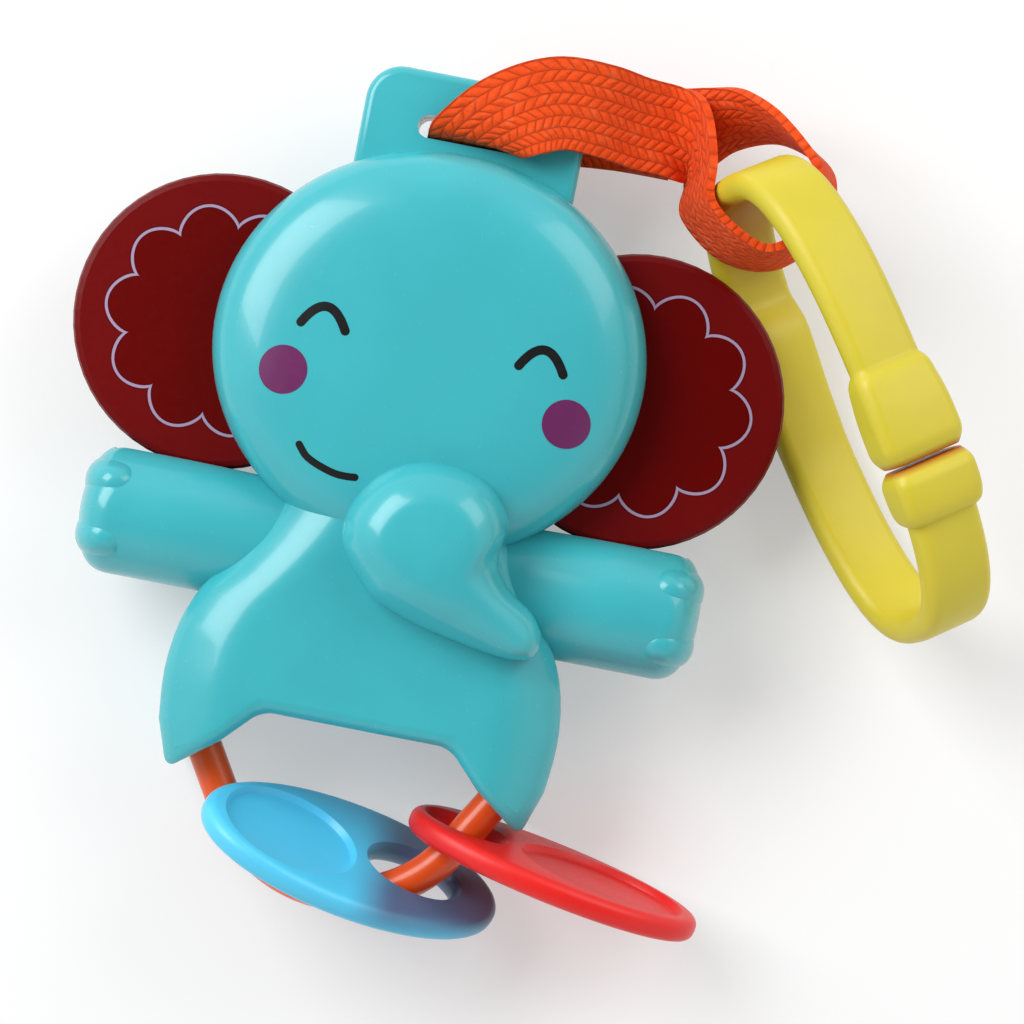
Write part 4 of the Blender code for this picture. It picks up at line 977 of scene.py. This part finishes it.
def bar_route(steps=64):
    """The bar's middle line from one leg round to the other."""
    (left, inward), (right, back) = map(bar_leg, BOTH)
    apex_y = BAR_LEG[1] - BAR_LEG[0] / math.tan(BAR_SLOPE)
    radius = (BAR_BOTTOM_Y - apex_y) / (1 / math.sin(BAR_SLOPE) - 1)
    centre_y = apex_y + radius / math.sin(BAR_SLOPE)
    first, last = math.pi + BAR_SLOPE, 2 * math.pi - BAR_SLOPE
    angles = [first + (last - first) * step / steps for step in range(steps + 1)]
    bend = [Vector((radius * math.cos(angle), centre_y + radius * math.sin(angle), PART_HEIGHT))
            for angle in angles]
    return [left - inward * BAR_INNER_LENGTH, left, *bend, right, right - back * BAR_INNER_LENGTH]


class TEETHER_OT_bar(bpy.types.Operator):
    """Models the round bar between the legs"""

    bl_idname = "teether.bar"
    bl_label = "Teether Bar"

    def execute(self, context):
        material = plain_material("orange satin", colours().orange, 0.3, 0.12, 0.2)
        work = tube(bar_route(), BAR_RADIUS, 40)
        add_piece("bar_skin", work, material, "toy", "orange_plastic", "teether_bar")
        return {"FINISHED"}


# A leaf's half thickness, the round of its rim and the rim's width
LEAF_HALF = 0.0019
LEAF_ROUND = 0.0016
LEAF_RIM = 0.0034

# How much a web cutter and the eye's cutter grow at each of their depths
WEB_STEPS = ((0.94, 0.0007), (0.985, 0.0009), (1.0, 0.0013), (1.06, 0.0021), (1.1, 0.004))
EYE_STEPS = ((0.0, 0.0004), (0.0003, 0.0012), (0.0010, 0.0019), (0.0020, 0.0030))


def oval(half_x, half_y, x, z):
    return [(x + half_x * across, half_y * up, z) for across, up in unit_circle(96)]


def leaf_turn(heading, rise, lean):
    """The turn of a leaf, from angles in degrees."""
    heading, rise, lean = [math.radians(angle) for angle in (heading, rise, lean)]
    along = Vector((math.cos(heading) * math.cos(rise), math.sin(heading) * math.cos(rise), math.sin(rise)))
    level = Vector((-math.sin(heading), math.cos(heading), 0))
    normal = level * math.cos(lean) + along.cross(level) * math.sin(lean)
    return Matrix((along, normal.cross(along), normal)).transposed().to_4x4()


def leaf_piece(name, size, eye, turn, place, material, slot, node):
    """A leaf with a thick soft rim, a thin web and an eye for the bar, which is the leaf's origin."""
    (length, width), (eye_at, eye_length, eye_width) = size, eye
    eye_x = eye_at - length / 2
    start, end = eye_x + eye_length / 2 + LEAF_RIM, length / 2 - LEAF_RIM
    web_x, web_half = (start + end) / 2, (end - start) / 2
    web_reach = width / 2 * math.sqrt(1 - (2 * web_x / length) ** 2) - LEAF_RIM
    rings = []
    for step in range(13):
        angle = -math.pi / 2 + math.pi * step / 12
        inward = LEAF_ROUND * (1 - math.cos(angle))
        z = math.copysign(LEAF_HALF - LEAF_ROUND, angle) + LEAF_ROUND * math.sin(angle) if step != 6 else 0.0
        rings.append(oval(length / 2 - inward, width / 2 - inward, 0.0, z))
    piece = add_piece(name, skin(rings), material, name, slot, node)
    for side in BOTH:
        cut_away(piece, skin([oval(web_half * grow, web_reach * grow, web_x, side * z)
                              for grow, z in WEB_STEPS]))
    depths = [(grow, -z) for grow, z in reversed(EYE_STEPS)] + list(EYE_STEPS)
    cut_away(piece, skin([oval(eye_length / 2 + grow, eye_width / 2 + grow, eye_x, z)
                          for grow, z in depths]))
    piece.data.transform(Matrix.Translation((-eye_x, 0, 0)))
    piece.data.transform(Matrix.Translation(place) @ leaf_turn(*turn))
    piece.data.shade_smooth()
    sharpen(piece, 35)


class TEETHER_OT_leaves(bpy.types.Operator):
    """Models the blue and the red leaf teether"""

    bl_idname = "teether.leaves"
    bl_label = "Leaf Teethers"

    def execute(self, context):
        red = plain_material("red soft", colours().red, 0.4, 0.2, 0.0, 0.08, 0.2, 0.003)
        leaf_piece("blue_leaf", (0.0505, 0.0280), (0.0150, 0.0146, 0.0102), (170.2, 22.3, 153.2),
                   (0.0122, -0.080210, 0.0135), blue_material(), "blue_soft", "blue_teether")
        leaf_piece("red_leaf", (0.0475, 0.0275), (0.0087, 0.0122, 0.0092), (-11, 0.0, 8),
                   (0.0190, -0.071991, 0.0140), red, "red_soft", "red_teether")
        return {"FINISHED"}


# The strap's places, its way across and the share of its width at each
STRAP_ROUTE = [
    ((0.0310, 0.0413, 0.0086), (0, 1, 0), 1.0),
    ((0.0220, 0.0412, 0.0082), (0, 1, 0), 1.0),
    ((0.0130, 0.0402, 0.0076), (-0.25, 0.97, 0), 1.0),
    ((0.0066, 0.0374, 0.0059), (-0.7, 0.7, 0), 1.0),
    ((0.0018, 0.0346, 0.0070), (-0.97, 0.25, 0), 1.0),
    ((0.0004, 0.0337, 0.0110), (-1, 0, 0), 1.0),
    ((0.0004, 0.0336, 0.0186), (-1, 0, 0), 1.0),
    ((0.0013, 0.0343, 0.0218), (-0.97, 0.25, 0), 1.0),
    ((0.0060, 0.0380, 0.0240), (-0.7, 0.7, 0), 1.0),
    ((0.0122, 0.0412, 0.0222), (-0.25, 0.97, 0), 1.0),
    ((0.0190, 0.0417, 0.0194), (0, 1, 0), 1.0),
    ((0.0250, 0.0414, 0.0146), (0, 1, 0), 1.0),
    ((0.0305, 0.0413, 0.0121), (0, 1, 0), 1.0),
    ((0.0340, 0.0400, 0.0132), (0.05, 0.8, 0.6), 1.0),
    ((0.0356, 0.0355, 0.0150), (0.2, 0.3, 0.93), 0.95),
    ((0.0362, 0.0300, 0.0168), (0.25, 0.2, 0.94), 0.88),
    ((0.0421, 0.0252, 0.0195), (0.1, 0.3, 0.95), 0.82),
    ((0.0488, 0.0246, 0.0198), (-0.15, 0.15, 0.98), 0.82),
    ((0.0541, 0.0300, 0.0206), (-0.2, 0, 0.98), 0.84),
    ((0.0544, 0.0384, 0.0194), (-0.2, -0.1, 0.97), 0.9),
    ((0.0473, 0.0440, 0.0170), (-0.1, 0.1, 0.98), 0.95),
    ((0.0405, 0.0448, 0.0136), (0, 0.5, 0.87), 1.0),
    ((0.0355, 0.0427, 0.0112), (0, 0.9, 0.43), 1.0),
    ((0.0310, 0.0414, 0.0103), (0, 1, 0), 1.0),
    ((0.0235, 0.0413, 0.0101), (0, 1, 0), 1.0),
]

def smooth_route(route, substeps):
    """Places, ways across and shares of the width along the strap, with even steps between the given ones."""
    places, ways, widths = zip(*route)
    places = stepped([Vector(place) for place in places], substeps)
    ways = stepped([Vector(way).normalized() for way in ways], substeps)
    return zip(places, [way.normalized() for way in ways], stepped(widths, substeps))


class TEETHER_OT_strap(bpy.types.Operator):
    """Models the webbing strap along its route"""

    bl_idname = "teether.strap"
    bl_label = "Webbing Strap"

    def execute(self, context):
        size = sizes()
        work = bmesh.new()
        uv = work.loops.layers.uv.new("strap")
        columns = 24
        rows = []
        run = 0.0
        last = Vector(STRAP_ROUTE[0][0])
        for place, way, left in smooth_route(STRAP_ROUTE, 12):
            run += (place - last).length
            last = place
            offsets = [(index / columns - 0.5) * size.strap_width for index in range(columns + 1)]
            rows.append([(work.verts.new(place + way * across * left), (run, across + size.strap_width))
                         for across in offsets])
        for row, after in zip(rows, rows[1:]):
            for index in range(columns):
                corners = (row[index], row[index + 1], after[index + 1], after[index])
                face = work.faces.new([vert for vert, mark in corners])
                for loop, (vert, mark) in zip(face.loops, corners):
                    loop[uv].uv = mark
        piece = new_object("webbing_strap", work)
        piece.data.materials.append(webbing_material())
        solid = piece.modifiers.new("Thickness", "SOLIDIFY")
        solid.thickness = size.strap_thickness
        solid.offset = 0
        apply_modifiers(piece)
        piece.data.shade_smooth()
        sharpen(piece, 50)
        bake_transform(piece)
        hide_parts("strap")
        return {"FINISHED"}


class TEETHER_OT_finishes(bpy.types.Operator):
    """Gives the carried-over solids their finishes"""

    bl_idname = "teether.finishes"
    bl_label = "Finishes"

    def execute(self, context):
        paint = colours()
        natural = plain_material("inside plastic", paint.natural, 0.45)
        bead = plain_material("bead plastic", paint.bead, 0.35)
        steel = plain_material("screw steel", paint.steel, 0.32, 0.2, metallic=1.0)
        chosen = {"ear_left": ear_material(-1), "ear_right": ear_material(1)}
        chosen.update(dict.fromkeys(("click_spring", "rattle_cup", "rattle_lid"), natural))
        chosen.update({f"bead_{index}": bead for index in range(1, 7)})
        chosen.update({f"screw_{index}": steel for index in range(1, 6)})
        for name, material in chosen.items():
            for slot in bpy.data.objects[name].material_slots:
                slot.material = material
        return {"FINISHED"}


# Stage


def area_light(name, place, target, width, height, power):
    lamp = bpy.data.lights.new(name, "AREA")
    lamp.shape = "RECTANGLE"
    lamp.size = width
    lamp.size_y = height
    lamp.energy = power
    obj = bpy.data.objects.new(name, lamp)
    bpy.context.scene.collection.objects.link(obj)
    obj.location = place
    obj.rotation_euler = (Vector(target) - Vector(place)).to_track_quat("-Z", "Y").to_euler()


def floor_material():
    """A pale matt floor that glows a little where it is seen, and casts no more light for it."""
    made, shader, place = bare_material("pale floor")
    pale = colours().floor
    soft = tuple(channel * 0.985 for channel in pale)
    seen = made.node_tree.nodes.new("ShaderNodeLightPath").outputs
    direct = calc("MAXIMUM", seen["Is Camera Ray"], seen["Is Glossy Ray"])
    direct = calc("MAXIMUM", direct, seen["Is Transmission Ray"])
    tone = blend_colour(noise(place, 40.0, 3.0), soft, pale)
    feed(shader, Base_Color=tone, Roughness=0.9, Specular_IOR_Level=0.1,
         Emission_Color=(1.0, 1.0, 1.0, 1.0), Emission_Strength=calc("MULTIPLY", direct, 0.36))
    return made


def studio_world():
    """A pale room that is darker overhead, so that level surfaces keep their depth of colour."""
    world = bpy.data.worlds.new("studio")
    world.use_nodes = True
    nodes = world.node_tree.nodes
    x, y, z = axes(nodes.new("ShaderNodeTexCoord").outputs["Generated"])
    feed(nodes["Background"], Color=(1.0, 1.0, 1.0, 1.0), Strength=fade(z, 0.55, 0.95, 0.80, 0.14))
    return world


class TEETHER_OT_stage(bpy.types.Operator):
    """Sets the floor, lights, world and camera"""

    bl_idname = "teether.stage"
    bl_label = "Stage"

    def execute(self, context):
        scene = context.scene
        stage = scene.teether_stage
        work = bmesh.new()
        bmesh.ops.create_grid(work, x_segments=2, y_segments=2, size=3.0)
        floor = new_object("floor", work)
        floor.data.materials.append(floor_material())
        floor.location = (0, 0, min(CAD_BOX[0][2], 0.0) - 0.0002)
        scene.world = studio_world()

        middle = (0.0170, -0.0213, 0.0170)
        area_light("key", (-0.55, 0.28, 0.62), middle, 0.60, 0.50, stage.key_power)
        area_light("fill", (0.45, 0.48, 0.50), middle, 0.40, 0.50, stage.fill_power)

        camera = bpy.data.cameras.new("camera")
        camera.lens = stage.lens
        camera.sensor_width = 36
        view = bpy.data.objects.new("camera", camera)
        scene.collection.objects.link(view)
        view.location = (middle[0], middle[1], middle[2] + stage.distance)
        view.rotation_euler = (0, 0, stage.turn)
        scene.camera = view
        scene.view_settings.view_transform = "Standard"
        return {"FINISHED"}


# Add-on


class TEETHER_PT_panel(bpy.types.Panel):
    """Lists the operators and the values that they use"""

    bl_label = "Rattle Teether"
    bl_idname = "TEETHER_PT_panel"
    bl_space_type = "VIEW_3D"
    bl_region_type = "UI"
    bl_category = "Teether"

    def draw(self, context):
        column = self.layout.column()
        for operator in OPERATORS:
            column.operator(operator.bl_idname)
        for name, group in GROUPS.items():
            for field in group.__annotations__:
                column.prop(getattr(context.scene, name), field)


OPERATORS = (
    TEETHER_OT_stage,
    TEETHER_OT_finishes,
    TEETHER_OT_shells,
    TEETHER_OT_face_print,
    TEETHER_OT_trunk,
    TEETHER_OT_bar,
    TEETHER_OT_leaves,
    TEETHER_OT_link,
    TEETHER_OT_strap,
)
GROUPS = {"teether_sizes": TeetherSizes, "teether_colours": TeetherColours, "teether_stage": TeetherStage}
CLASSES = (*GROUPS.values(), *OPERATORS, TEETHER_PT_panel)


def register():
    for cls in CLASSES:
        bpy.utils.register_class(cls)
    for name, group in GROUPS.items():
        setattr(bpy.types.Scene, name, bpy.props.PointerProperty(type=group))


def unregister():
    for name in GROUPS:
        delattr(bpy.types.Scene, name)
    for cls in reversed(CLASSES):
        bpy.utils.unregister_class(cls)


def main():
    register()
    bpy.ops.teether.stage()
    bpy.ops.teether.finishes()
    bpy.ops.teether.shells()
    bpy.ops.teether.face_print()
    bpy.ops.teether.trunk()
    bpy.ops.teether.bar()
    bpy.ops.teether.leaves()
    bpy.ops.teether.link()
    bpy.ops.teether.strap()


if __name__ == "__main__":
    main()
